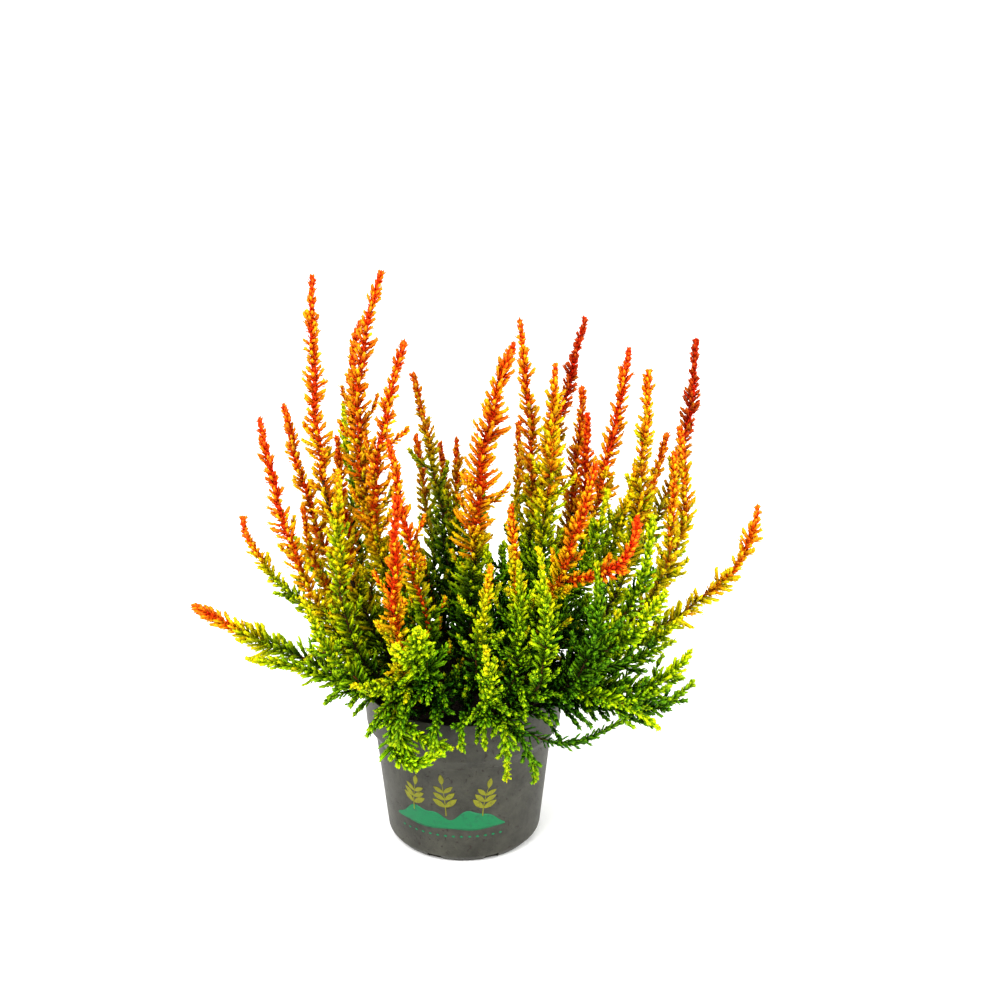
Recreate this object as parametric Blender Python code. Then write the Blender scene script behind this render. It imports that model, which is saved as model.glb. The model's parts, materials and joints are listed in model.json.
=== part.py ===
"""Potted heather with golden foliage, as separate closed solids.

A nursery pot with drain slots holds peat soil, and leafy heather stems stand in plain holes
in the soil. Each leafy stem is one body: a slim core along its curve, any side branches that
fork from it, and three-sided side shoots fused to them.
The origin is the middle of the pot's underside, +Z is up and -Y is the front. Metres.
"""
import math
from typing import NamedTuple

import bpy
import numpy as np
from mathutils import Vector

MM = 0.001

# Pot: a 12 cm nursery pot with a flared collar
POT_HEIGHT = 101 * MM
RIM_RADIUS = 60 * MM
COLLAR_FOOT_RADIUS = 58.2 * MM
COLLAR_FOOT_HEIGHT = 76 * MM
WALL_TOP_RADIUS = 53 * MM
WALL_TOP_HEIGHT = 68 * MM
WALL_FOOT_RADIUS = 46.3 * MM
WALL_FOOT_HEIGHT = 4.5 * MM
BASE_RADIUS = 42.2 * MM
WALL_THICKNESS = 1.2 * MM
FLOOR_THICKNESS = 2.4 * MM
FLOOR_CORNER_INSET = 0.6 * MM
FLOOR_CORNER_RISE = 0.8 * MM
INNER_STEP_RISE = 0.4 * MM
ROUND_SIDES = 40
SHARP_ANGLE = math.radians(25)
POT_COLOUR = (0.13, 0.115, 0.105)
POT_ROUGHNESS = 0.45

DRAIN_SLOTS = 8
DRAIN_SLOT_WIDTH = 9 * MM
DRAIN_SLOT_INNER_RADIUS = 41.2 * MM
DRAIN_SLOT_DEPTH = 8 * MM
DRAIN_SLOT_TOP = 4.2 * MM

# Soil: fills the pot to a little below the rim
SOIL_TOP = 88 * MM
SOIL_GAP = 0.4 * MM
SOIL_RINGS = (0.78, 0.42)
SOIL_LUMP = 1.1 * MM
SOIL_WAVE_HEIGHT = 0.66 * MM
SOIL_WAVE_ACROSS = 30 * MM
SOIL_WAVE_DEEP = 37 * MM
SOIL_WAVE_START = 1.3
SOIL_RIPPLE_SHARE = 0.6
SOIL_RIPPLE_ACROSS = 25 * MM
SOIL_RIPPLE_DEEP = 19 * MM
SOIL_COLOUR = (0.03, 0.018, 0.01)
SOIL_ROUGHNESS = 0.95

# Stems: a hole takes each foot, and the bend starts just above the soil
HOLE_DEPTH = 12 * MM
HOLE_GAP = 0.35 * MM
HOLE_CUTTER_RISE = 6 * MM
STEM_GAP = 0.5 * MM
LEAN_START = SOIL_TOP + 3 * MM
FOOT_SHARE = 0.34
FOOT_REACH = 36 * MM
FOOT_SPACING = 6.2 * MM
FOOT_PASSES = 60
BEND_TIGHTNESS = 0.8
WOOD_RADIUS = 1.4 * MM
CORE_RADIUS = 2.6 * MM
CORE_TIP_RADIUS = 1.3 * MM
CORE_PLAIN_SHARE = 0.5
CORE_SWELL_SHARE = 0.08
CORE_SIDES = 4
CORE_STEPS = 6
HEADING_STEP = 2 * MM
NEARLY_ALONG_X = 0.8
BARE_LENGTH = 34 * MM
FORK_BARE_LENGTH = 9 * MM
TIP_POINT = 2 * MM
STEM_COLOUR = (0.42, 0.36, 0.02)
STEM_ROUGHNESS = 0.6

# Side shoots: short and steep at the tip, longer and wider apart further down
SHOOT_TIP_LENGTH = 3.6 * MM
SHOOT_GROWTH = 4.6 * MM
SHOOT_GROWTH_REACH = 40 * MM
SHOOT_SLOPE = 0.018
SHOOT_TIP_ANGLE = math.radians(30)
SHOOT_FULL_ANGLE = math.radians(54)
SHOOT_SIDES = 3
SHOOT_ROOT_SHARE = 0.62
SHOOT_MEAN_SHARE = 0.7
SHOOT_TESTS = (0.4, 0.7, 1.0)
SHOOT_FIRST = 2.5 * MM
SHOOT_TIP_SPACING = 5.2 * MM
SHOOT_SPREADING = 0.028
SHOOT_LENGTH_TRIES = (1.0, 0.8, 0.6)
SHOOT_TURN_TRIES = (0.0, 0.45, -0.45)
SHOOT_SHORTEST = 3.0 * MM
QUARTER_TURNS = (0, 2, 1, 3)

# Faces of a box whose corners run round its bottom and then round its top
BOX_FACES = [(3, 2, 1, 0), (4, 5, 6, 7), (0, 1, 5, 4), (1, 2, 6, 5), (2, 3, 7, 6), (3, 0, 4, 7)]

# Below this, two runs count as parallel
PARALLEL_LIMIT = 1e-18


class Stem(NamedTuple):
    """A leafy stem. Places are in millimetres.

    parent is the stem it forks from, with fork as the share of the parent's length.
    The stem bends towards its knee on the way from its foot to its tip.
    """

    name: str
    tip: tuple
    knee: tuple
    fullness: float = 1.0
    parent: str = ""
    fork: float = 0.5


STEMS = (
    Stem("left_tall", (-82, 0, 350), (-87, -10, 194)),
    Stem("left_crown", (-44, 10, 350), (-74, 0, 257)),
    Stem("left_crown_side", (-58, 30, 315), (-68, 16, 279), 0.8, "left_crown", 0.45),
    Stem("left_crown_twin", (-31, -10, 316), (-58, -12, 219), 1.0, "left_crown", 0.3),
    Stem("left_outer", (-112, -20, 274), (-94, -30, 153)),
    Stem("left_outer_back", (-103, 20, 268), (-83, 10, 161), 0.9),
    Stem("left_elbow", (-125, -10, 210), (-128, -20, 192), 0.9),
    Stem("left_low", (-156, -20, 158), (-115, -35, 141)),
    Stem("left_low_side", (-140, -40, 136), (-96, -46, 134), 0.9),
    Stem("left_core", (-40, -25, 263), (-23, -35, 159)),
    Stem("left_face", (-34, -65, 245), (-42, -65, 122)),
    Stem("left_small", (-92, 0, 212), (-86, 0, 150), 0.8),
    Stem("left_yellow", (-68, -30, 247), (-76, -35, 123)),
    Stem("left_inner", (-73, 25, 246), (-70, 16, 150)),
    Stem("left_green", (-71, 50, 258), (-69, 40, 224), 0.8, "left_inner", 0.45),
    Stem("left_lime", (-88, -55, 178), (-72, -52, 125)),
    Stem("left_skirt", (-60, -88, 142), (-48, -74, 133)),
    Stem("back_slim", (-30, 65, 271), (-9, 51, 180), 0.7),
    Stem("back_left_a", (-30, 95, 220), (-22, 75, 170)),
    Stem("back_left_b", (-15, 80, 221), (-9, 60, 176)),
    Stem("back_left_c", (-4, 60, 232), (-5, 45, 172)),
    Stem("mid_big", (30, -15, 316), (8, -20, 262), 1.3),
    Stem("mid_high", (33, 20, 319), (50, 10, 181)),
    Stem("mid_thin", (33, 50, 246), (35, 45, 177), 0.6),
    Stem("mid_yellow", (53, 0, 299), (47, -10, 122), 1.2),
    Stem("mid_right", (70, 35, 273), (67, 25, 171)),
    Stem("mid_right_twin", (72, 15, 264), (74, 10, 211), 0.9, "mid_right", 0.45),
    Stem("mid_small", (28, -40, 230), (36, -45, 147), 0.9),
    Stem("back_red", (73, 80, 301), (59, 65, 249), 0.8),
    Stem("front_red", (75, -45, 257), (60, -50, 190), 1.1),
    Stem("front_hook", (96, -75, 238), (94, -75, 203), 0.8, "front_red", 0.6),
    Stem("centre_face", (17, -75, 209), (11, -70, 159)),
    Stem("centre_low", (14, -95, 170), (20, -85, 122)),
    Stem("front_long", (43, -75, 219), (56, -86, 134), 1.1),
    Stem("front_lime", (32, -65, 207), (36, -74, 125)),
    Stem("front_feather", (75, -65, 206), (82, -76, 136), 1.1),
    Stem("front_tuft", (-22, -110, 188), (-24, -70, 152)),
    Stem("rim_left", (-24, -75, 82), (-50, -70, 123)),
    Stem("rim_left_twin", (-5, -75, 95), (-23, -80, 100), 1.0, "rim_left", 0.5),
    Stem("rim_right", (25, -82, 78), (29, -85, 126)),
    Stem("rim_right_twin", (42, -75, 73), (39, -80, 103), 0.9, "rim_right", 0.5),
    Stem("low_right", (100, -45, 92), (60, -68, 72), 1.1, "rim_right", 0.55),
    Stem("right_tall", (95, 10, 305), (78, 5, 181), 1.1),
    Stem("right_long", (106, 5, 293), (103, -12, 134), 1.1),
    Stem("right_long_side", (119, 20, 250), (110, 10, 219), 0.8, "right_long", 0.5),
    Stem("right_orange", (125, 10, 258), (142, 0, 152), 1.1),
    Stem("right_axis", (120, -15, 252), (122, -20, 176), 0.9, "right_orange", 0.45),
    Stem("right_low", (170, -5, 215), (168, -10, 162)),
    Stem("right_lime", (107, -40, 224), (106, -40, 156), 1.1),
    Stem("right_tuft", (113, -75, 194), (102, -52, 154)),
    Stem("right_mass", (88, -62, 176), (80, -66, 137)),
    Stem("right_fan_tuft", (112, -76, 108), (90, -66, 124), 1.0, "right_mass", 0.4),
    Stem("right_mass_low", (122, -45, 148), (100, -46, 136)),
    Stem("right_fan", (133, -35, 139), (112, -42, 98), 1.0, "right_mass_low", 0.45),
    Stem("right_fan_low", (137, -52, 128), (112, -58, 88), 0.9, "right_mass_low", 0.35),
    Stem("back_right_red", (141, 95, 283), (140, 78, 166), 0.9),
    Stem("back_low_a", (-105, 65, 165), (-85, 60, 130)),
    Stem("back_low_b", (-68, 85, 205), (-60, 75, 150)),
    Stem("back_low_c", (-42, 112, 142), (-36, 90, 131)),
    Stem("back_low_d", (12, 115, 185), (8, 95, 140)),
    Stem("back_low_e", (60, 118, 190), (48, 100, 140)),
    Stem("back_low_f", (104, 92, 185), (88, 80, 145)),
    Stem("back_low_g", (135, 55, 160), (100, 46, 136)),
)


def clear_scene():
    """Remove whatever the file held before."""
    for item in list(bpy.data.objects):
        bpy.data.objects.remove(item, do_unlink=True)


def principled(name, colour, roughness):
    """A plain finish with a colour in linear light and a roughness."""
    finish = bpy.data.materials.new(name)
    finish.use_nodes = True
    shader = finish.node_tree.nodes["Principled BSDF"]
    shader.inputs["Base Color"].default_value = (*colour, 1.0)
    shader.inputs["Roughness"].default_value = roughness
    shader.inputs["Metallic"].default_value = 0.0
    return finish


def mesh_object(name, points, faces, finish=None, collection=None):
    """An object from points and faces, in the scene's collection unless another is given."""
    mesh = bpy.data.meshes.new(name)
    mesh.from_pydata([tuple(point) for point in points], [], faces)
    if finish:
        mesh.materials.append(finish)
    made = bpy.data.objects.new(name, mesh)
    (collection or bpy.context.scene.collection).objects.link(made)
    return made


def smooth_round(made):
    """Shade a round piece smooth, with its real edges kept sharp."""
    made.data.shade_smooth()
    made.data.set_sharp_from_angle(angle=SHARP_ANGLE)


def turned(name, profile, finish, sides=ROUND_SIDES):
    """A turned solid. The profile of (radius, height) runs from the lower pole, up its outside
    and back to the axis; its first and last points lie on the axis."""
    points = [(0.0, 0.0, profile[0][1])]
    for radius, height in profile[1:-1]:
        for side in range(sides):
            turn = math.tau * side / sides
            points.append((radius * math.cos(turn), radius * math.sin(turn), height))
    points.append((0.0, 0.0, profile[-1][1]))
    faces = []
    rings = len(profile) - 2
    for side in range(sides):
        beside = (side + 1) % sides
        faces.append((0, 1 + beside, 1 + side))
        for ring in range(rings - 1):
            low = 1 + ring * sides
            high = low + sides
            faces.append((low + side, low + beside, high + beside, high + side))
        top = 1 + (rings - 1) * sides
        faces.append((top + side, top + beside, len(points) - 1))
    return mesh_object(name, points, faces, finish)


def boolean(target, operation, cutters, solver="EXACT"):
    """Join or cut target with every object of the collection cutters, which is then removed."""
    step = target.modifiers.new(operation.lower(), "BOOLEAN")
    step.operation = operation
    step.operand_type = "COLLECTION"
    step.collection = cutters
    step.solver = solver
    bpy.context.view_layer.update()
    seen = target.evaluated_get(bpy.context.evaluated_depsgraph_get())
    finished = bpy.data.meshes.new_from_object(seen)
    target.modifiers.remove(step)
    target.data = finished
    for cutter in list(cutters.objects):
        bpy.data.objects.remove(cutter, do_unlink=True)
    bpy.data.collections.remove(cutters)


def new_collection(name):
    """A collection for the pieces that a Boolean takes."""
    made = bpy.data.collections.new(name)
    bpy.context.scene.collection.children.link(made)
    return made


def pot_inner_profile():
    """Inner wall of the pot as (radius, height), from the floor up."""
    return (
        (BASE_RADIUS - FLOOR_CORNER_INSET, FLOOR_THICKNESS),
        (WALL_FOOT_RADIUS - WALL_THICKNESS, WALL_FOOT_HEIGHT + FLOOR_CORNER_RISE),
        (WALL_TOP_RADIUS - WALL_THICKNESS, WALL_TOP_HEIGHT + INNER_STEP_RISE),
        (COLLAR_FOOT_RADIUS - WALL_THICKNESS, COLLAR_FOOT_HEIGHT + INNER_STEP_RISE),
        (RIM_RADIUS - WALL_THICKNESS, POT_HEIGHT),
    )


def pot_outer_profile():
    """Outer wall of the pot as (radius, height), from the base up."""
    return (
        (BASE_RADIUS, 0.0),
        (WALL_FOOT_RADIUS, WALL_FOOT_HEIGHT),
        (WALL_TOP_RADIUS, WALL_TOP_HEIGHT),
        (COLLAR_FOOT_RADIUS, COLLAR_FOOT_HEIGHT),
        (RIM_RADIUS, POT_HEIGHT),
    )


def make_pot():
    """The pot: one turned shell, with slots through the corner of its base for drainage."""
    finish = principled("pot_plastic", POT_COLOUR, POT_ROUGHNESS)
    outline = ((0.0, 0.0), *pot_outer_profile(), *reversed(pot_inner_profile()), (0.0, FLOOR_THICKNESS))
    pot = turned("pot", outline, finish)
    slots = new_collection("drain_slots")
    half = DRAIN_SLOT_WIDTH / 2
    for slot in range(DRAIN_SLOTS):
        turn = math.tau * (slot + 0.5) / DRAIN_SLOTS
        out = np.array((math.cos(turn), math.sin(turn), 0.0))
        side = np.array((-math.sin(turn), math.cos(turn), 0.0))
        near = out * DRAIN_SLOT_INNER_RADIUS
        far = out * (DRAIN_SLOT_INNER_RADIUS + DRAIN_SLOT_DEPTH)
        low = np.array((0.0, 0.0, -DRAIN_SLOT_TOP))
        high = np.array((0.0, 0.0, DRAIN_SLOT_TOP))
        corners = [place + side * half * sign + height
                   for height in (low, high)
                   for place, sign in ((near, -1), (far, -1), (far, 1), (near, 1))]
        mesh_object(f"slot_{slot}", corners, BOX_FACES, None, slots)
    boolean(pot, "DIFFERENCE", slots)
    smooth_round(pot)
    return pot


def bend(foot, knee, tip):
    """Points of the curve from foot to tip that bends towards its knee."""
    share = np.linspace(0.0, 1.0, CORE_STEPS + 1)[:, None]
    near = foot + (knee - foot) * BEND_TIGHTNESS
    far = tip + (knee - tip) * BEND_TIGHTNESS
    rest = 1.0 - share
    return rest**3 * foot + 3 * rest**2 * share * near + 3 * rest * share**2 * far + share**3 * tip


def foot_places():
    """Where each stem leaves the soil, by name: under its knee, drawn in towards the middle,
    then moved aside step by step until the feet stand clear of each other."""
    roots = [stem for stem in STEMS if not stem.parent]
    places = np.array([stem.knee[:2] for stem in roots]) * MM * FOOT_SHARE
    reach = np.linalg.norm(places, axis=1)
    places *= np.minimum(1.0, FOOT_REACH / reach)[:, None]
    for _ in range(FOOT_PASSES):
        apart = places[:, None] - places[None]
        gap = np.linalg.norm(apart, axis=2)
        np.fill_diagonal(gap, 1.0)
        push = np.clip(FOOT_SPACING - gap, 0.0, None) / 2
        places += (apart / gap[..., None] * push[..., None]).sum(axis=1)
        reach = np.linalg.norm(places, axis=1)
        places *= np.minimum(1.0, FOOT_REACH / reach)[:, None]
    return {stem.name: np.array((*place, LEAN_START)) for stem, place in zip(roots, places)}


class Line:
    """The centre line of a stem or a branch, with places read by their distance along it."""

    def __init__(self, stem, points, bare):
        self.stem = stem
        self.bare = bare
        self.points = np.asarray(points)
        steps = np.linalg.norm(np.diff(self.points, axis=0), axis=1)
        self.reached = np.concatenate(([0.0], np.cumsum(steps)))
        self.length = self.reached[-1]

    def place(self, along):
        """Point at a distance from the foot."""
        return np.array([np.interp(along, self.reached, self.points[:, axis]) for axis in range(3)])

    def heading(self, along):
        """Direction of growth at a distance from the foot."""
        ahead = self.place(min(along + HEADING_STEP, self.length))
        run = ahead - self.place(max(along - HEADING_STEP, 0.0))
        return run / np.linalg.norm(run)

    def radius(self, along):
        """Radius of the core: bare wood, then the leafy stretch, which tapers to the tip."""
        leafy = (along - self.bare) / (self.length - self.bare)
        if leafy <= 0.0:
            return WOOD_RADIUS
        swell = min(1.0, leafy / CORE_SWELL_SHARE)
        full = CORE_RADIUS + (CORE_TIP_RADIUS - CORE_RADIUS) * leafy
        full *= CORE_PLAIN_SHARE + (1.0 - CORE_PLAIN_SHARE) * self.stem.fullness
        return WOOD_RADIUS + (full - WOOD_RADIUS) * swell

    def cross(self, along):
        """Two directions across the line, turned as little as the line allows."""
        heading = self.heading(along)
        start = self.heading(0.0)
        side = Vector((1.0, 0.0, 0.0)) if abs(start[0]) < NEARLY_ALONG_X else Vector((0.0, 1.0, 0.0))
        side = (side - Vector(start) * side.dot(Vector(start))).normalized()
        side.rotate(Vector(start).rotation_difference(Vector(heading)))
        side = np.array(side)
        return side, np.cross(heading, side)


def make_lines():
    """Centre lines of all stems and branches by name, in the order of the list."""
    lines = {}
    feet = foot_places()
    for stem in STEMS:
        knee = np.array(stem.knee) * MM
        tip = np.array(stem.tip) * MM
        if stem.parent:
            parent = lines[stem.parent]
            foot = parent.place(parent.length * stem.fork)
            lines[stem.name] = Line(stem, bend(foot, knee, tip), FORK_BARE_LENGTH)
        else:
            foot = feet[stem.name]
            buried = np.array((foot[0], foot[1], SOIL_TOP - HOLE_DEPTH))
            points = np.vstack((buried[None], bend(foot, knee, tip)))
            lines[stem.name] = Line(stem, points, HOLE_DEPTH + BARE_LENGTH)
    return lines


def node_of(stem):
    """Name of the body that a stem or a branch belongs to."""
    return stem.parent or stem.name


def core_mesh(line):
    """Points and faces of a core: four-sided rings along the line, closed to a point at the tip."""
    stops = [*line.reached[:-1], line.length - TIP_POINT]
    points = []
    for along in stops:
        side, across = line.cross(along)
        middle = line.place(along)
        reach = line.radius(along)
        for quarter in range(CORE_SIDES):
            turn = math.tau * (quarter + 0.5) / CORE_SIDES
            points.append(middle + (side * math.cos(turn) + across * math.sin(turn)) * reach)
    points.append(line.place(line.length))
    faces = [tuple(reversed(range(CORE_SIDES)))]
    for low in range(0, len(points) - 1 - CORE_SIDES, CORE_SIDES):
        high = low + CORE_SIDES
        for quarter in range(CORE_SIDES):
            beside = (quarter + 1) % CORE_SIDES
            faces.append((low + quarter, low + beside, high + beside, high + quarter))
    top = len(points) - 1 - CORE_SIDES
    for quarter in range(CORE_SIDES):
        faces.append((top + quarter, top + (quarter + 1) % CORE_SIDES, len(points) - 1))
    return points, faces


class Shoot(NamedTuple):
    """A side shoot: the places of its root and its tip, its radius at the root, which the core
    hides, and the body it belongs to."""

    root: np.ndarray
    tip: np.ndarray
    radius: float
    node: str


def shoot_length(from_tip, fullness):
    """Length of a side shoot at a distance from the stem's tip."""
    grown = SHOOT_GROWTH * (1.0 - math.exp(-from_tip / SHOOT_GROWTH_REACH))
    return SHOOT_TIP_LENGTH + (grown + SHOOT_SLOPE * from_tip) * fullness


def shoot_angle(from_tip):
    """Angle between a side shoot and the stem at a distance from the stem's tip."""
    opened = 1.0 - math.exp(-from_tip / SHOOT_GROWTH_REACH)
    return SHOOT_TIP_ANGLE + (SHOOT_FULL_ANGLE - SHOOT_TIP_ANGLE) * opened


def shoot_stops(line):
    """Distances from the tip at which a line carries its side shoots."""
    stops = []
    from_tip = SHOOT_FIRST
    while from_tip < line.length - line.bare:
        stops.append(from_tip)
        from_tip += SHOOT_TIP_SPACING + SHOOT_SPREADING * from_tip
    return stops


def segment_gaps(start, end, starts, ends):
    """Smallest distance between one segment and each of many."""
    run = end - start
    runs = ends - starts
    offset = start - starts
    own = run @ run
    theirs = (runs * runs).sum(axis=1)
    shared = runs @ run
    own_offset = offset @ run
    their_offset = (runs * offset).sum(axis=1)
    spread = own * theirs - shared * shared
    nearest = (shared * their_offset - own_offset * theirs) / np.maximum(spread, PARALLEL_LIMIT)
    along = np.clip(np.where(spread > PARALLEL_LIMIT, nearest, 0), 0, 1)
    their_along = np.clip((shared * along + their_offset) / theirs, 0, 1)
    along = np.clip((their_along * shared - own_offset) / own, 0, 1)
    near = start + along[:, None] * run
    far = starts + their_along[:, None] * runs
    return np.linalg.norm(near - far, axis=1)


def clear_of_pot(place, radius):
    """Whether a ball at a place stays clear of the pot and of the soil in it."""
    height = place[2]
    if height > POT_HEIGHT + radius:
        return True
    reach = math.hypot(place[0], place[1])
    outer = np.interp(height, [step[1] for step in pot_outer_profile()],
                      [step[0] for step in pot_outer_profile()])
    inner = np.interp(height, [step[1] for step in pot_inner_profile()],
                      [step[0] for step in pot_inner_profile()])
    above_soil = height > SOIL_TOP + SOIL_LUMP + radius
    return reach > outer + radius or (reach < inner - radius and above_soil)


class Crowd:
    """The cores and the side shoots that stand already, so that no body crosses another."""

    def __init__(self, lines):
        self.starts = []
        self.ends = []
        self.radii = []
        self.nodes = []
        for line in lines.values():
            for first, second, along in zip(line.points[:-1], line.points[1:], line.reached):
                self.add(first, second, line.radius(along), node_of(line.stem))

    def add(self, start, end, radius, node):
        """Take in one more stretch of a body."""
        self.starts.append(start)
        self.ends.append(end)
        self.radii.append(radius)
        self.nodes.append(node)

    def takes(self, shoot):
        """Whether a side shoot stays clear of every other body."""
        for share in SHOOT_TESTS:
            if not clear_of_pot(shoot.root + (shoot.tip - shoot.root) * share, shoot.radius):
                return False
        others = np.array(self.nodes) != shoot.node
        gaps = segment_gaps(shoot.root, shoot.tip, np.array(self.starts)[others],
                            np.array(self.ends)[others])
        free = gaps - np.array(self.radii)[others]
        return bool((free > shoot.radius * SHOOT_MEAN_SHARE + STEM_GAP).all())


def first_clear(crowd, line, along, step):
    """The first of a side shoot's lengths and turns that is clear of other bodies, or None."""
    from_tip = line.length - along
    full = shoot_length(from_tip, line.stem.fullness)
    lean = shoot_angle(from_tip)
    heading = line.heading(along)
    side, across = line.cross(along)
    root = line.place(along)
    radius = SHOOT_ROOT_SHARE * line.radius(along)
    quarter = math.tau * QUARTER_TURNS[step % len(QUARTER_TURNS)] / 4
    for share in SHOOT_LENGTH_TRIES:
        if full * share < SHOOT_SHORTEST:
            break
        for extra in SHOOT_TURN_TRIES:
            out = side * math.cos(quarter + extra) + across * math.sin(quarter + extra)
            aim = heading * math.cos(lean) + out * math.sin(lean)
            reach = full * share + line.radius(along)
            shoot = Shoot(root, root + aim * reach, radius, node_of(line.stem))
            if crowd.takes(shoot):
                return shoot
    return None


def place_shoots(lines):
    """Side shoots of all stems, set from the tips down, four ways round, each clear of other
    bodies: where one would cross, it is turned or shortened, and left out if that fails."""
    crowd = Crowd(lines)
    stops = {name: shoot_stops(line) for name, line in lines.items()}
    placed = {name: [] for name in lines}
    for step in range(max(len(each) for each in stops.values())):
        for name, line in lines.items():
            if step >= len(stops[name]):
                continue
            shoot = first_clear(crowd, line, line.length - stops[name][step], step)
            if shoot:
                placed[name].append(shoot)
                crowd.add(shoot.root, shoot.tip, shoot.radius * SHOOT_MEAN_SHARE, shoot.node)
    return placed


def shoot_mesh(shoot):
    """Points and faces of a side shoot: three sides from a root inside the core to a point."""
    aim = Vector(shoot.tip - shoot.root).normalized()
    side = np.array(aim.orthogonal().normalized())
    across = np.cross(np.array(aim), side)
    points = []
    for corner in range(SHOOT_SIDES):
        turn = math.tau * corner / SHOOT_SIDES
        points.append(shoot.root + (side * math.cos(turn) + across * math.sin(turn)) * shoot.radius)
    points.append(shoot.tip)
    return points, [(2, 1, 0), (0, 1, 3), (1, 2, 3), (2, 0, 3)]


def make_stems(lines, placed):
    """One fused body for each stem that stands in the soil, with its branches and side shoots."""
    finish = principled("heather_shoots", STEM_COLOUR, STEM_ROUGHNESS)
    for name, line in lines.items():
        if line.stem.parent:
            continue
        stem = mesh_object(name, *core_mesh(line), finish)
        repeats = new_collection(f"{name}_repeats")
        for other, branch in lines.items():
            if node_of(branch.stem) != name:
                continue
            if branch is not line:
                mesh_object(f"{other}_core", *core_mesh(branch), finish, repeats)
            for count, shoot in enumerate(placed[other]):
                mesh_object(f"{other}_{count}", *shoot_mesh(shoot), finish, repeats)
        boolean(stem, "UNION", repeats, "MANIFOLD")


def soil_height(place_x, place_y):
    """Height of the lumpy soil over a place: a few crossing waves of a crumb's size."""
    across = math.sin(math.tau * place_x / SOIL_WAVE_ACROSS + SOIL_WAVE_START)
    wave = across * math.cos(math.tau * place_y / SOIL_WAVE_DEEP)
    ripple = math.sin(math.tau * (place_y / SOIL_RIPPLE_DEEP - place_x / SOIL_RIPPLE_ACROSS))
    return SOIL_TOP + SOIL_WAVE_HEIGHT * (wave + SOIL_RIPPLE_SHARE * ripple)


def soil_mesh():
    """Points and faces of the soil: it follows the pot's inner wall with a gap, and its top has
    rings of fewer and fewer points towards the middle, raised and sunk by the lumps."""
    sides = [(radius - SOIL_GAP, height) for radius, height in pot_inner_profile()[:-1]]
    sides[0] = (sides[0][0], FLOOR_THICKNESS + SOIL_GAP)
    collar_foot, rim = pot_inner_profile()[-2:]
    edge = np.interp(SOIL_TOP, (collar_foot[1], rim[1]), (collar_foot[0], rim[0])) - SOIL_GAP
    sides.append((edge, SOIL_TOP))
    points = [(radius * math.cos(math.tau * side / ROUND_SIDES),
               radius * math.sin(math.tau * side / ROUND_SIDES), height)
              for radius, height in sides for side in range(ROUND_SIDES)]
    faces = [tuple(reversed(range(ROUND_SIDES)))]
    for low in range(0, len(points) - ROUND_SIDES, ROUND_SIDES):
        for side in range(ROUND_SIDES):
            beside = (side + 1) % ROUND_SIDES
            high = low + ROUND_SIDES
            faces.append((low + side, low + beside, high + beside, high + side))
    outer = list(range(len(points) - ROUND_SIDES, len(points)))
    for share in SOIL_RINGS:
        count = len(outer) // 2
        inner = list(range(len(points), len(points) + count))
        for side in range(count):
            turn = math.tau * side / count
            place = (edge * share * math.cos(turn), edge * share * math.sin(turn))
            points.append((*place, soil_height(*place)))
            first, second, third = (outer[(2 * side + step) % len(outer)] for step in range(3))
            beside = inner[(side + 1) % count]
            faces += [(first, second, inner[side]), (second, third, beside), (second, beside, inner[side])]
        outer = inner
    points.append((0.0, 0.0, soil_height(0.0, 0.0)))
    faces += [(outer[side], outer[(side + 1) % len(outer)], len(points) - 1)
              for side in range(len(outer))]
    return points, faces


def make_soil(lines):
    """Peat that fills the pot, with lumps on top and a plain hole for each stem."""
    soil = mesh_object("soil", *soil_mesh(), principled("soil_peat", SOIL_COLOUR, SOIL_ROUGHNESS))
    holes = new_collection("stem_holes")
    for name, line in lines.items():
        if line.stem.parent:
            continue
        side, across = line.cross(0.0)
        foot = line.points[0] * (1, 1, 0)
        reach = WOOD_RADIUS + HOLE_GAP / math.cos(math.pi / CORE_SIDES)
        corners = []
        for height in (SOIL_TOP - HOLE_DEPTH - HOLE_GAP, SOIL_TOP + HOLE_CUTTER_RISE):
            for quarter in range(CORE_SIDES):
                turn = math.tau * (quarter + 0.5) / CORE_SIDES
                out = (side * math.cos(turn) + across * math.sin(turn)) * reach
                corners.append(foot + out + np.array((0.0, 0.0, height)))
        mesh_object(f"hole_{name}", corners, BOX_FACES, None, holes)
    boolean(soil, "DIFFERENCE", holes)
    return soil


def main():
    """Build the pot, the soil and the stems."""
    clear_scene()
    lines = make_lines()
    make_pot()
    make_soil(lines)
    make_stems(lines, place_shoots(lines))


if __name__ == "__main__":
    main()
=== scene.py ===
"""Potted heather with golden foliage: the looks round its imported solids.

Every leafy stem is drawn with its wood, its side shoots and their scale leaves. The pot, its
print and the peat are turned and shaped meshes. Sizes are real ones, in millimetres where a name
ends in _mm and in metres elsewhere. +Z is up and the photograph is taken from -Y.
"""

import json
import logging
import math
from dataclasses import dataclass, field, fields
from enum import Enum

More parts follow.
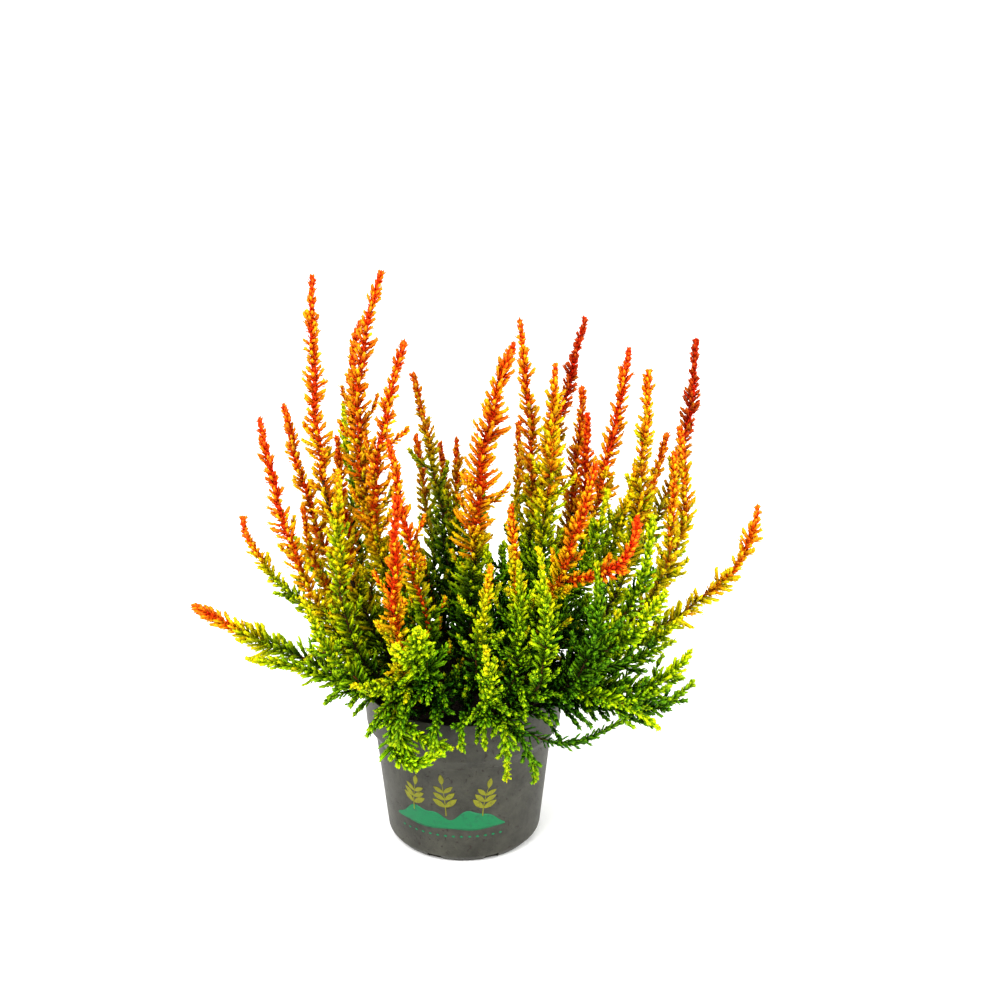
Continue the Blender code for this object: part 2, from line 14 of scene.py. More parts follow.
import bpy
import numpy as np
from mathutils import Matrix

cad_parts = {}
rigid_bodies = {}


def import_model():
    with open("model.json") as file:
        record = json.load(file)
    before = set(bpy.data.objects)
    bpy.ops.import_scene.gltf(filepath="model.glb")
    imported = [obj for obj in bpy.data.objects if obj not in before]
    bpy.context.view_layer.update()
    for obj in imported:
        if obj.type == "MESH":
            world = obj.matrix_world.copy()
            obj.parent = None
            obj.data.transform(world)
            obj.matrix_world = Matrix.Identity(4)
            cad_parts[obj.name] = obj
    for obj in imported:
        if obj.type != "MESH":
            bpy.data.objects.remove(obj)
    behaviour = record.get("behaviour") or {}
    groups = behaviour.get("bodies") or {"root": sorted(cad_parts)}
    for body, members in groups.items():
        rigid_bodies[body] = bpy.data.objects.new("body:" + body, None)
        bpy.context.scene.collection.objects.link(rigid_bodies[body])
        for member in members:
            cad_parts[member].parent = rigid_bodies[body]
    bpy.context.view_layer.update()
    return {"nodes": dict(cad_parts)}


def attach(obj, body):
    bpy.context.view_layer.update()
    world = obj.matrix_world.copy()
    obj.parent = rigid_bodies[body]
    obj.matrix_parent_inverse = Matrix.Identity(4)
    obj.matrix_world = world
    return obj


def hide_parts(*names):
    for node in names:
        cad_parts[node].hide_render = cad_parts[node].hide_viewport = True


MM = 0.001
SEED = 11
LEAST_LENGTH = 1e-12
NEARLY_ALONG_X = 0.8
LOG = logging.getLogger("heather")

NodeTree = bpy.types.NodeTree
Node = bpy.types.Node
Material = bpy.types.Material
MeshObject = bpy.types.Object


def linear(colour: str) -> tuple[float, float, float]:
    """Turn an sRGB hex colour to linear light.

    Args:
        colour: Hex colour such as "#ee5a12".

    Returns:
        Red, green and blue from 0 to 1.
    """
    shares = [int(colour[place:place + 2], 16) / 255 for place in (1, 3, 5)]
    return tuple(share / 12.92 if share <= 0.04045 else ((share + 0.055) / 1.055) ** 2.4
                 for share in shares)


def add_node(tree: NodeTree, kind: str, inputs: dict | None = None, **settings) -> Node:
    """Add a node with its settings and links.

    Args:
        tree: Node tree that gets it.
        kind: Node type without its Shader prefix.
        inputs: Value, or output socket to link, by input name or number.
        settings: Properties of the node itself.

    Returns:
        The new node.
    """
    node = tree.nodes.new(f"ShaderNode{kind}")
    for name, value in settings.items():
        setattr(node, name, value)
    for name, value in (inputs or {}).items():
        socket = node.inputs[name]
        if isinstance(value, bpy.types.NodeSocket):
            tree.links.new(value, socket)
        elif isinstance(value, str):
            socket.default_value = (*linear(value), 1.0)
        else:
            socket.default_value = value
    return node


def blank_material(name: str) -> tuple[Material, NodeTree, Node]:
    """Start a material with the Principled shader.

    Args:
        name: Name of the material.

    Returns:
        The material, its node tree and its Principled node.
    """
    material = bpy.data.materials.new(name)
    material.use_nodes = True
    tree = material.node_tree
    return material, tree, tree.nodes["Principled BSDF"]


def smooth_share(value: np.ndarray, low: float, high: float) -> np.ndarray:
    """Rise smoothly from 0 at low to 1 at high."""
    share = np.clip((value - low) / (high - low), 0.0, 1.0)
    return share * share * (3.0 - 2.0 * share)


def unit(vectors: np.ndarray) -> np.ndarray:
    """Scale vectors to length one."""
    return vectors / np.maximum(np.linalg.norm(vectors, axis=-1, keepdims=True), LEAST_LENGTH)


def travelled(points: np.ndarray) -> np.ndarray:
    """Distance along a line from its first point to each point."""
    steps = np.linalg.norm(np.diff(points, axis=0), axis=1)
    return np.concatenate(([0.0], np.cumsum(steps)))


def arc(start: np.ndarray, end: np.ndarray, share: np.ndarray) -> np.ndarray:
    """Way along a bend of length one, which sets off in one direction and ends in another."""
    return share * start + share**2 / 2 * (end - start)


def aimed(heading: np.ndarray, out: np.ndarray, lean: np.ndarray) -> np.ndarray:
    """Directions that lean out from a heading."""
    return heading * np.cos(lean)[:, None] + out * np.sin(lean)[:, None]


def next_round(index: np.ndarray, sides: int) -> np.ndarray:
    """Index of the next point round its ring."""
    return index - index % sides + (index + 1) % sides


def placed(name: str, data: bpy.types.ID) -> bpy.types.Object:
    """Make an object and put it in the scene.

    Args:
        name: Name of the object.
        data: Its mesh, light or camera.

    Returns:
        The object.
    """
    made = bpy.data.objects.new(name, data)
    bpy.context.scene.collection.objects.link(made)
    return made


@dataclass(frozen=True)
class RecycledPolypropylene:
    """Injection-moulded dark taupe polypropylene of a nursery pot.

    Recycled stock gives a soft mottled tone, the mould a fine orange-peel sheen, and potting
    leaves dark specks of peat that are stuck to the wall.
    """

    tone: str = "#49483f"
    mottled_tone: str = "#24231d"
    speck_tone: str = "#2b211b"
    roughness: float = 0.43
    ior: float = 1.49
    mottle_mm: float = 24.0
    grain_mm: float = 0.9
    speck_mm: float = 2.8
    grain_depth_mm: float = 0.1
    speck_depth_mm: float = 0.3
    smoother: float = 0.06
    rougher: float = 0.08

    def material(self) -> Material:
        """Build the node material.

        Returns:
            The material.
        """
        material, tree, shader = blank_material("recycled_polypropylene_moulded")
        place = add_node(tree, "TexCoord").outputs["Object"]
        mottle = add_node(tree, "TexNoise", {"Vector": place, "Scale": 1 / (self.mottle_mm * MM),
                                             "Detail": 8.0, "Roughness": 0.78})
        patches = add_node(tree, "MapRange", {"Value": mottle.outputs["Fac"], "From Min": 0.3,
                                              "From Max": 0.7})
        tones = add_node(tree, "Mix", {0: patches.outputs["Result"], 6: self.tone,
                                       7: self.mottled_tone}, data_type="RGBA")
        specks = add_node(tree, "TexNoise", {"Vector": place, "Scale": 1 / (self.speck_mm * MM),
                                             "Detail": 6.0, "Roughness": 0.72})
        stuck = add_node(tree, "MapRange", {"Value": specks.outputs["Fac"], "From Min": 0.6,
                                            "From Max": 0.63})
        dirty = add_node(tree, "Mix", {0: stuck.outputs["Result"], 6: tones.outputs[2],
                                       7: self.speck_tone}, data_type="RGBA")
        tree.links.new(dirty.outputs[2], shader.inputs["Base Color"])
        grain = add_node(tree, "TexNoise", {"Vector": place, "Scale": 1 / (self.grain_mm * MM),
                                            "Detail": 2.0})
        relief = add_node(tree, "Bump", {"Height": grain.outputs["Fac"], "Strength": 0.18,
                                         "Distance": self.grain_depth_mm * MM})
        crumbs = add_node(tree, "Bump", {"Height": stuck.outputs["Result"], "Strength": 0.6,
                                         "Distance": self.speck_depth_mm * MM,
                                         "Normal": relief.outputs["Normal"]})
        tree.links.new(crumbs.outputs["Normal"], shader.inputs["Normal"])
        sheen = add_node(tree, "MapRange", {"Value": mottle.outputs["Fac"],
                                            "To Min": self.roughness - self.smoother,
                                            "To Max": self.roughness + self.rougher})
        tree.links.new(sheen.outputs["Result"], shader.inputs["Roughness"])
        shader.inputs["IOR"].default_value = self.ior
        return material


@dataclass(frozen=True)
class PadPrintInk:
    """Pad-printed ink on the pot: flat, matt and slightly uneven where the pad lifted."""

    name: str
    tone: str
    thin_tone: str
    roughness: float = 0.5
    patch_mm: float = 3.0

    def material(self) -> Material:
        """Build the node material.

        Returns:
            The material.
        """
        material, tree, shader = blank_material(f"pad_print_ink_{self.name}")
        place = add_node(tree, "TexCoord").outputs["Object"]
        patch = add_node(tree, "TexNoise", {"Vector": place, "Scale": 1 / (self.patch_mm * MM),
                                            "Detail": 5.0, "Roughness": 0.7})
        thin = add_node(tree, "MapRange", {"Value": patch.outputs["Fac"], "From Min": 0.5,
                                           "From Max": 0.75})
        tones = add_node(tree, "Mix", {0: thin.outputs["Result"], 6: self.tone, 7: self.thin_tone},
                         data_type="RGBA")
        tree.links.new(tones.outputs[2], shader.inputs["Base Color"])
        shader.inputs["Roughness"].default_value = self.roughness
        return material


@dataclass(frozen=True)
class LoosePeat:
    """Sieved peat: dark brown, fibrous and dull, with paler fibres that catch the light, and
    painted shade that darkens the hollows between its crumbs.
    """

    tone: str = "#2a1a10"
    # Tone of the hollows between crumbs: painted shade.
    deep_tone: str = "#120a06"
    fibre_tone: str = "#5a3a22"
    roughness: float = 0.92
    crumb_mm: float = 2.2
    fibre_mm: float = 0.7
    crumb_depth_mm: float = 1.0

    def material(self) -> Material:
        """Build the node material.

        Returns:
            The material.
        """
        material, tree, shader = blank_material("peat_sieved")
        place = add_node(tree, "TexCoord").outputs["Object"]
        crumbs = add_node(tree, "TexNoise", {"Vector": place, "Scale": 1 / (self.crumb_mm * MM),
                                             "Detail": 6.0, "Roughness": 0.7})
        # The low spots of the crumb relief take the darker tone: painted shade in the hollows, on
        # top of the peat's own uneven colour.
        tones = add_node(tree, "Mix", {0: crumbs.outputs["Fac"], 6: self.deep_tone, 7: self.tone},
                         data_type="RGBA")
        fibres = add_node(tree, "TexNoise", {"Vector": place, "Scale": 1 / (self.fibre_mm * MM),
                                             "Detail": 3.0, "Distortion": 1.5})
        pale = add_node(tree, "MapRange", {"Value": fibres.outputs["Fac"], "From Min": 0.62,
                                           "From Max": 0.72})
        mixed = add_node(tree, "Mix", {0: pale.outputs["Result"], 6: tones.outputs[2],
                                       7: self.fibre_tone}, data_type="RGBA")
        tree.links.new(mixed.outputs[2], shader.inputs["Base Color"])
        relief = add_node(tree, "Bump", {"Height": crumbs.outputs["Fac"], "Strength": 0.8,
                                         "Distance": self.crumb_depth_mm * MM})
        tree.links.new(relief.outputs["Normal"], shader.inputs["Normal"])
        shader.inputs["Roughness"].default_value = self.roughness
        return material


@dataclass(frozen=True)
class ScaleLeaf:
    """Living scale leaves: waxy, faintly glossy, and mottled within one leaf.

    The tone of each leaf comes from the mesh, which knows how ripe its shoot is and also holds
    painted shade at the shoot's root and each leaf's foot, and a painted highlight at each leaf's
    tip.
    """

    layer: str = "leaf_tone"
    roughness: float = 0.5
    ior: float = 1.4
    gloss: float = 0.25
    mottle_mm: float = 0.8

    def material(self) -> Material:
        """Build the node material.

        Returns:
            The material.
        """
        material, tree, shader = blank_material("heather_scale_leaf_waxy")
        place = add_node(tree, "TexCoord").outputs["Object"]
        tone = add_node(tree, "VertexColor", layer_name=self.layer)
        mottle = add_node(tree, "TexNoise", {"Vector": place, "Scale": 1 / (self.mottle_mm * MM),
                                             "Detail": 2.0})
        level = add_node(tree, "MapRange", {"Value": mottle.outputs["Fac"], "From Min": 0.25,
                                            "From Max": 0.75, "To Min": 0.78, "To Max": 1.2})
        mottled = add_node(tree, "VectorMath", {0: tone.outputs["Color"],
                                                1: level.outputs["Result"]}, operation="MULTIPLY")
        tree.links.new(mottled.outputs["Vector"], shader.inputs["Base Color"])
        shader.inputs["Roughness"].default_value = self.roughness
        shader.inputs["IOR"].default_value = self.ior
        shader.inputs["Specular IOR Level"].default_value = self.gloss
        return material


@dataclass(frozen=True)
class HeatherBark:
    """Bark of young heather wood: dull, with fine streaks along and across its scars."""

    layer: str = "leaf_tone"
    roughness: float = 0.72
    scar_mm: float = 1.1
    scar_depth_mm: float = 0.2

    def material(self) -> Material:
        """Build the node material.

        Returns:
            The material.
        """
        material, tree, shader = blank_material("heather_bark_young")
        place = add_node(tree, "TexCoord").outputs["Object"]
        tone = add_node(tree, "VertexColor", layer_name=self.layer)
        scars = add_node(tree, "TexNoise", {"Vector": place, "Scale": 1 / (self.scar_mm * MM),
                                            "Detail": 4.0, "Roughness": 0.7})
        level = add_node(tree, "MapRange", {"Value": scars.outputs["Fac"], "From Min": 0.3,
                                            "From Max": 0.7, "To Min": 0.6, "To Max": 1.25})
        streaked = add_node(tree, "VectorMath", {0: tone.outputs["Color"],
                                                 1: level.outputs["Result"]}, operation="MULTIPLY")
        tree.links.new(streaked.outputs["Vector"], shader.inputs["Base Color"])
        relief = add_node(tree, "Bump", {"Height": scars.outputs["Fac"], "Strength": 0.5,
                                         "Distance": self.scar_depth_mm * MM})
        tree.links.new(relief.outputs["Normal"], shader.inputs["Normal"])
        shader.inputs["Roughness"].default_value = self.roughness
        return material


@dataclass(frozen=True)
class Ripening:
    """How a stem's colour runs down from its tip.

    upper and foot are the ripeness of its upper part and its foot, and fade_mm the length over
    which one turns to the other. accent is what the very tip adds, over accent_mm. light is how
    bright its shoots are; the low light of the dark red and olive stems at the back is painted
    shade. twig_share is how much of its leafy length is free of twigs.
    """

    upper: float
    foot: float
    fade_mm: float
    accent: float = 0.05
    accent_mm: float = 14.0
    light: float = 1.0
    twig_share: float = 0.34

    def ripeness(self, from_tip_mm: np.ndarray) -> np.ndarray:
        """Ripeness at distances from the tip."""
        return (self.foot + (self.upper - self.foot) * np.exp(-(from_tip_mm / self.fade_mm) ** 2)
                + self.accent * np.exp(-(from_tip_mm / self.accent_mm) ** 2))


class Flush(Enum):
    """The ways in which stems have coloured, from red-orange tips to shaded green."""

    FLAME = Ripening(0.76, 0.58, 170.0, 0.12)
    EMBER = Ripening(0.83, 0.55, 105.0, 0.08)
    SPARK = Ripening(0.53, 0.47, 60.0, 0.27, 34.0)
    AMBER = Ripening(0.74, 0.57, 120.0, 0.10)
    HONEY = Ripening(0.69, 0.54, 95.0, 0.10, twig_share=0.3)
    SUN = Ripening(0.61, 0.51, 60.0, 0.08, twig_share=0.15)
    LIME = Ripening(0.53, 0.45, 50.0, 0.05, light=1.07, twig_share=0.12)
    FRESH = Ripening(0.52, 0.43, 60.0, 0.02, light=1.3, twig_share=0.12)
    GREEN = Ripening(0.50, 0.33, 28.0, 0.02, light=0.92, twig_share=0.05)
    # Dark red stems at the back: their low light is painted shade.
    DUSK = Ripening(0.92, 0.46, 105.0, 0.0, light=0.6)
    # Olive stems at the back and in the core: their low light is painted shade.
    OLIVE = Ripening(0.70, 0.50, 70.0, 0.12, light=0.75, twig_share=0.3)


@dataclass(frozen=True)
class Twigging:
    """How a stem's twigs differ from the usual.

    length is for those near the pot, outer_length for those far out from it, and spacing is how
    far apart they are.
    """

    length: float
    outer_length: float
    spacing: float = 1.0


class Habit(Enum):
    """The ways in which stems branch."""

    PLUME = Twigging(1.0, 0.6)
    FAN = Twigging(1.15, 0.8, 0.72)
    ARM = Twigging(0.9, 0.0)
    SPRIG = Twigging(0.0, 0.0)


@dataclass(frozen=True)
class Stem:
    """A leafy stem, or a branch that belongs to the piece of the stem that it forks from.

    The stem bends towards its knee on the way from its foot to its tip. parent is the stem that
    it forks from, and fork the share of that stem's length.
    """

    name: str
    tip_mm: tuple[float, float, float]
    knee_mm: tuple[float, float, float]
    flush: Flush
    fullness: float = 1.0
    parent: str = ""
    fork: float = 0.5
    habit: Habit = Habit.PLUME


# From the left to the right and then at the back, each stem is followed by its branches.
STEMS = (
    Stem("left_tall", (-82, 0, 350), (-87, -10, 194), Flush.FLAME),
    Stem("left_crown", (-44, 10, 350), (-74, 0, 257), Flush.FLAME),
    Stem("left_crown_side", (-58, 30, 315), (-68, 16, 279), Flush.AMBER, 0.8, "left_crown", 0.45),
    Stem("left_crown_twin", (-31, -10, 316), (-58, -12, 219), Flush.FLAME, 1.0, "left_crown", 0.3),
    Stem("left_outer", (-112, -20, 274), (-94, -30, 153), Flush.EMBER),
    Stem("left_outer_back", (-103, 20, 268), (-83, 10, 161), Flush.AMBER, 0.9),
    Stem("left_elbow", (-125, -10, 210), (-128, -20, 192), Flush.SPARK, 0.9),
    Stem("left_low", (-156, -20, 158), (-115, -35, 141), Flush.SPARK, 2.0, habit=Habit.ARM),
    Stem("left_low_side", (-124, -40, 134), (-94, -46, 134), Flush.LIME, 1.4, habit=Habit.ARM),
    Stem("left_core", (-40, -25, 263), (-23, -35, 159), Flush.FLAME),
    Stem("left_core_low", (-40, -8, 200), (-34, -12, 150), Flush.OLIVE, 1.2, "left_core", 0.12),
    Stem("left_face", (-34, -65, 245), (-42, -65, 122), Flush.EMBER),
    Stem("left_small", (-92, 0, 212), (-86, 0, 150), Flush.HONEY, 0.8),
    Stem("left_yellow", (-68, -30, 247), (-76, -35, 123), Flush.SUN),
    Stem("left_inner", (-73, 25, 246), (-70, 16, 150), Flush.AMBER),
    Stem("left_green", (-71, 50, 258), (-69, 40, 224), Flush.LIME, 0.8, "left_inner", 0.45),
    Stem("left_lime", (-88, -55, 178), (-72, -52, 125), Flush.LIME),
    Stem("left_skirt", (-60, -88, 142), (-48, -74, 133), Flush.LIME),
    Stem("left_skirt_low", (-38, -81, 100), (-30, -72, 120), Flush.GREEN, 1.4, "left_skirt", 0.4),
    Stem("left_skirt_inner", (-36, -52, 134), (-30, -46, 116), Flush.GREEN, 1.2, "left_skirt",
         0.12),
    Stem("back_slim", (-30, 65, 271), (-9, 51, 180), Flush.OLIVE, 0.8),
    Stem("back_left_a", (-30, 95, 220), (-22, 75, 170), Flush.OLIVE),
    Stem("back_left_b", (-15, 80, 221), (-9, 60, 176), Flush.OLIVE),
    Stem("back_left_b_low", (-28, 20, 184), (-20, 20, 145), Flush.OLIVE, 1.2, "back_left_b", 0.12),
    Stem("back_left_c", (-4, 60, 232), (-5, 45, 172), Flush.OLIVE),
    Stem("back_left_c_low", (1, 12, 180), (-2, 12, 142), Flush.GREEN, 1.2, "back_left_c", 0.12),
    Stem("mid_big", (30, -15, 316), (8, -20, 262), Flush.FLAME, 1.7),
    Stem("mid_high", (33, 20, 319), (50, 10, 181), Flush.AMBER),
    Stem("mid_thin", (33, 50, 246), (35, 45, 177), Flush.OLIVE, 0.6),
    Stem("mid_yellow", (53, 0, 299), (47, -10, 122), Flush.HONEY, 1.4),
    Stem("mid_yellow_low", (24, -8, 194), (24, -12, 145), Flush.GREEN, 1.1, "mid_yellow", 0.12),
    Stem("mid_right", (70, 35, 273), (67, 25, 171), Flush.AMBER, 1.1),
    Stem("mid_right_twin", (72, 15, 264), (74, 10, 211), Flush.EMBER, 0.9, "mid_right", 0.45),
    Stem("mid_right_low", (84, -8, 226), (74, -6, 170), Flush.LIME, 1.2, "mid_right", 0.2),
    Stem("mid_right_inner", (74, -20, 166), (64, -18, 140), Flush.GREEN, 1.2, "mid_right", 0.1),
    Stem("mid_small", (28, -40, 230), (36, -45, 147), Flush.HONEY, 0.9),
    Stem("mid_small_low", (14, -20, 196), (18, -22, 150), Flush.LIME, 1.1, "mid_small", 0.15),
    Stem("back_red", (73, 80, 301), (59, 65, 249), Flush.DUSK, 0.8),
    Stem("front_red", (75, -45, 257), (60, -50, 190), Flush.AMBER, 1.2),
    Stem("front_hook", (96, -75, 238), (94, -75, 203), Flush.EMBER, 0.8, "front_red", 0.6),
    Stem("centre_face", (17, -75, 209), (11, -70, 159), Flush.SUN),
    Stem("centre_face_inner", (10, -40, 140), (6, -38, 118), Flush.GREEN, 1.0, "centre_face",
         0.12),
    Stem("centre_low", (14, -95, 170), (20, -85, 122), Flush.LIME),
    Stem("centre_low_side", (1, -84, 98), (-2, -74, 118), Flush.GREEN, 1.2, "centre_low", 0.3),
    Stem("centre_low_inner", (-3, -52, 136), (-1, -48, 116), Flush.GREEN, 1.0, "centre_low", 0.12),
    Stem("centre_low_twin", (14, -86, 100), (12, -80, 120), Flush.GREEN, 1.1, "centre_low", 0.4),
    Stem("front_long", (43, -75, 219), (56, -86, 134), Flush.LIME, 1.1),
    Stem("front_lime", (32, -65, 207), (36, -74, 125), Flush.LIME),
    Stem("front_feather", (75, -65, 206), (82, -76, 136), Flush.GREEN, 1.1, habit=Habit.FAN),
    Stem("front_feather_low", (60, -30, 176), (56, -32, 140), Flush.GREEN, 1.2, "front_feather",
         0.15),
    Stem("front_tuft", (-22, -110, 188), (-24, -70, 152), Flush.FRESH, 1.7),
    Stem("front_tuft_side", (-34, -108, 176), (-30, -80, 150), Flush.FRESH, 1.5, "front_tuft",
         0.55),
    Stem("front_tuft_low", (-17, -84, 96), (-12, -76, 116), Flush.GREEN, 1.2, "front_tuft", 0.25),
    Stem("front_tuft_inner", (-13, -60, 128), (-8, -52, 112), Flush.GREEN, 1.0, "front_tuft",
         0.12),
    Stem("rim_left", (-24, -75, 82), (-50, -70, 123), Flush.FRESH, 2.0),
    Stem("rim_left_curl", (-10, -80, 95), (-43, -81, 78), Flush.FRESH, 2.0, "rim_left", 0.45),
    Stem("rim_left_twin", (-5, -75, 95), (-23, -80, 100), Flush.FRESH, 1.7, "rim_left", 0.5),
    Stem("rim_right", (25, -82, 78), (29, -85, 126), Flush.LIME),
    Stem("rim_right_twin", (42, -75, 73), (39, -80, 103), Flush.GREEN, 0.9, "rim_right", 0.5),
    Stem("low_right", (102, -45, 104), (62, -68, 82), Flush.GREEN, 0.8, "rim_right", 0.55,
         Habit.SPRIG),
    Stem("right_tall", (95, 10, 305), (78, 5, 181), Flush.EMBER, 1.1),
    Stem("right_tall_low", (100, 0, 238), (92, 0, 180), Flush.SUN, 1.1, "right_tall", 0.3),
    Stem("right_long", (106, 5, 293), (103, -12, 134), Flush.HONEY, 1.1),
    Stem("right_long_side", (119, 20, 250), (110, 10, 219), Flush.HONEY, 0.8, "right_long", 0.5),
    Stem("right_orange", (125, 10, 258), (142, 0, 152), Flush.HONEY, 1.1),
    Stem("right_axis", (120, -15, 252), (122, -20, 176), Flush.HONEY, 0.9, "right_orange", 0.45),
    Stem("right_low", (170, -5, 215), (168, -10, 162), Flush.HONEY, 1.2, habit=Habit.ARM),
    Stem("right_low_side", (126, -38, 160), (112, -36, 142), Flush.LIME, 1.4, "right_low", 0.4),
    Stem("right_lime", (107, -40, 224), (106, -40, 156), Flush.FRESH, 1.1),
    Stem("right_tuft", (113, -75, 194), (102, -52, 154), Flush.FRESH, 1.3),
    Stem("right_mass", (88, -62, 176), (80, -66, 137), Flush.GREEN, 1.2, habit=Habit.FAN),
    Stem("right_fan_tuft", (112, -76, 108), (90, -66, 124), Flush.FRESH, 1.0, "right_mass", 0.4,
         Habit.FAN),
    Stem("right_mass_low", (122, -45, 148), (100, -46, 136), Flush.GREEN, habit=Habit.FAN),
    Stem("right_fan", (132, -40, 140), (112, -44, 108), Flush.FRESH, 1.7, "right_mass_low", 0.45,
         Habit.FAN),
    Stem("right_fan_low", (133, -52, 126), (110, -56, 100), Flush.GREEN, 1.2, "right_mass_low",
         0.35, Habit.FAN),
    Stem("right_fan_side", (118, -70, 132), (96, -68, 118), Flush.GREEN, 1.2, "right_mass_low",
         0.3, Habit.FAN),
    Stem("back_right_red", (141, 95, 283), (140, 78, 166), Flush.DUSK, 0.9),
    Stem("back_low_a", (-105, 65, 165), (-85, 60, 130), Flush.GREEN),
    Stem("back_low_b", (-68, 85, 205), (-60, 75, 150), Flush.OLIVE),
    Stem("back_low_c", (-42, 112, 142), (-36, 90, 131), Flush.GREEN),
    Stem("back_low_d", (12, 115, 185), (8, 95, 140), Flush.GREEN),
    Stem("back_low_e", (60, 118, 190), (48, 100, 140), Flush.LIME),
    Stem("back_low_f", (104, 92, 185), (88, 80, 145), Flush.LIME),
    Stem("back_low_g", (135, 55, 160), (100, 46, 136), Flush.GREEN),
)


@dataclass(frozen=True)
class PotShape:
    """Outline of the 12 cm nursery pot, with a collar under its rim.

    The corners of the inner wall lie a little higher than those of the outer one.
    """

    height: float = 101 * MM
    rim_radius: float = 60 * MM
    collar_foot_radius: float = 58.2 * MM
    collar_foot_height: float = 76 * MM
    wall_top_radius: float = 53 * MM
    wall_top_height: float = 68 * MM
    wall_foot_radius: float = 46.3 * MM
    wall_foot_height: float = 4.5 * MM
    base_radius: float = 42.2 * MM
    wall: float = 1.2 * MM
    floor: float = 2.4 * MM
    floor_inset: float = 0.6 * MM
    inner_foot_rise: float = 0.8 * MM
    inner_step_rise: float = 0.4 * MM
    soil_top: float = 88 * MM

    def outer(self) -> list[tuple[float, float]]:
        """Outer wall as (radius, height) from the base up."""
        return [(self.base_radius, 0.0), (self.wall_foot_radius, self.wall_foot_height),
                (self.wall_top_radius, self.wall_top_height),
                (self.collar_foot_radius, self.collar_foot_height), (self.rim_radius, self.height)]

    def inner(self) -> list[tuple[float, float]]:
        """Inner wall as (radius, height) from the floor up."""
        return [(self.base_radius - self.floor_inset, self.floor),
                (self.wall_foot_radius - self.wall, self.wall_foot_height + self.inner_foot_rise),
                (self.wall_top_radius - self.wall, self.wall_top_height + self.inner_step_rise),
                (self.collar_foot_radius - self.wall,
                 self.collar_foot_height + self.inner_step_rise),
                (self.rim_radius - self.wall, self.height)]

    @staticmethod
    def radius(outline: list[tuple[float, float]], height: np.ndarray) -> np.ndarray:
        """Radius of an outline at heights."""
        radii, heights = zip(*outline)
        return np.interp(height, heights, radii)

    def clear(self, places: np.ndarray, gap: float) -> np.ndarray:
        """Find the places that keep clear of the pot and the soil in it.

        Args:
            places: Points to test.
            gap: Distance that they have to keep.

        Returns:
            Whether each of them does.
        """
        height = places[..., 2]
        reach = np.hypot(places[..., 0], places[..., 1])
        outside = reach > self.radius(self.outer(), height) + gap
        within = reach < self.radius(self.inner(), height) - gap
        return (height > self.height + gap) | outside | (within & (height > self.soil_top + gap))


@dataclass
class Axis:
    """Centre line of a stem, a branch or a twig, read by the distance from its foot.

    bare is the leafless length at its foot, and fullness how long its side shoots are. drooping
    says whether its low twigs hang over the rim, habit how it branches, and thickness how thick
    its side shoots are. below_tip is how far down its stem a twig grows, which sets its colour,
    and 0 on a stem or branch. cross holds two directions across the line at each point, turned
    as little as the line allows.
    """

    points: np.ndarray
    bare: float
    fullness: float
    flush: Flush
    wood_radius: float
    drooping: bool
    habit: Habit
    thickness: float = 1.0
    below_tip: float = 0.0
    reached: np.ndarray = field(init=False)
    headings: np.ndarray = field(init=False)
    cross: np.ndarray = field(init=False)

    def __post_init__(self) -> None:
        """Measure the line and turn its cross directions along it."""
        self.reached = travelled(self.points)
        self.headings = unit(np.gradient(self.points, self.reached, axis=0))
        along_x = abs(self.headings[0][0]) >= NEARLY_ALONG_X
        side = np.array((0.0, 1.0, 0.0) if along_x else (1.0, 0.0, 0.0))
        sides = []
        for heading in self.headings:
            side = unit(side - heading * (side @ heading))
            sides.append(side)
        across = np.cross(self.headings, np.array(sides))
        self.cross = np.stack((np.array(sides), across), axis=1)

    @property
    def length(self) -> float:
        """Length from foot to tip."""
        return float(self.reached[-1])

    @property
    def leafy(self) -> float:
        """Length that carries leaves."""
        return self.length - self.bare

    @property
    def is_twig(self) -> bool:
        """Whether the line is a twig, not a stem or branch."""
        return self.below_tip > 0.0

    def ripeness(self, from_tip: np.ndarray) -> np.ndarray:
        """Ripeness at distances from the tip."""
        return self.flush.value.ripeness((from_tip + self.below_tip) / MM)

    def read(self, table: np.ndarray, along: np.ndarray) -> np.ndarray:
        """Read one of the line's tables between its points.

        Args:
            table: Its points, headings or cross directions.
            along: Distances from its foot.

        Returns:
            The table at those distances.
        """
        flat = table.reshape(len(table), -1)
        columns = [np.interp(along, self.reached, flat[:, part]) for part in range(flat.shape[1])]
        return np.stack(columns, axis=-1).reshape(*np.shape(along), *table.shape[1:])

    def stations(self, along: np.ndarray) -> tuple[np.ndarray, np.ndarray, np.ndarray]:
        """Places, headings and cross directions at distances from the foot."""
        return (self.read(self.points, along), unit(self.read(self.headings, along)),
                self.read(self.cross, along))


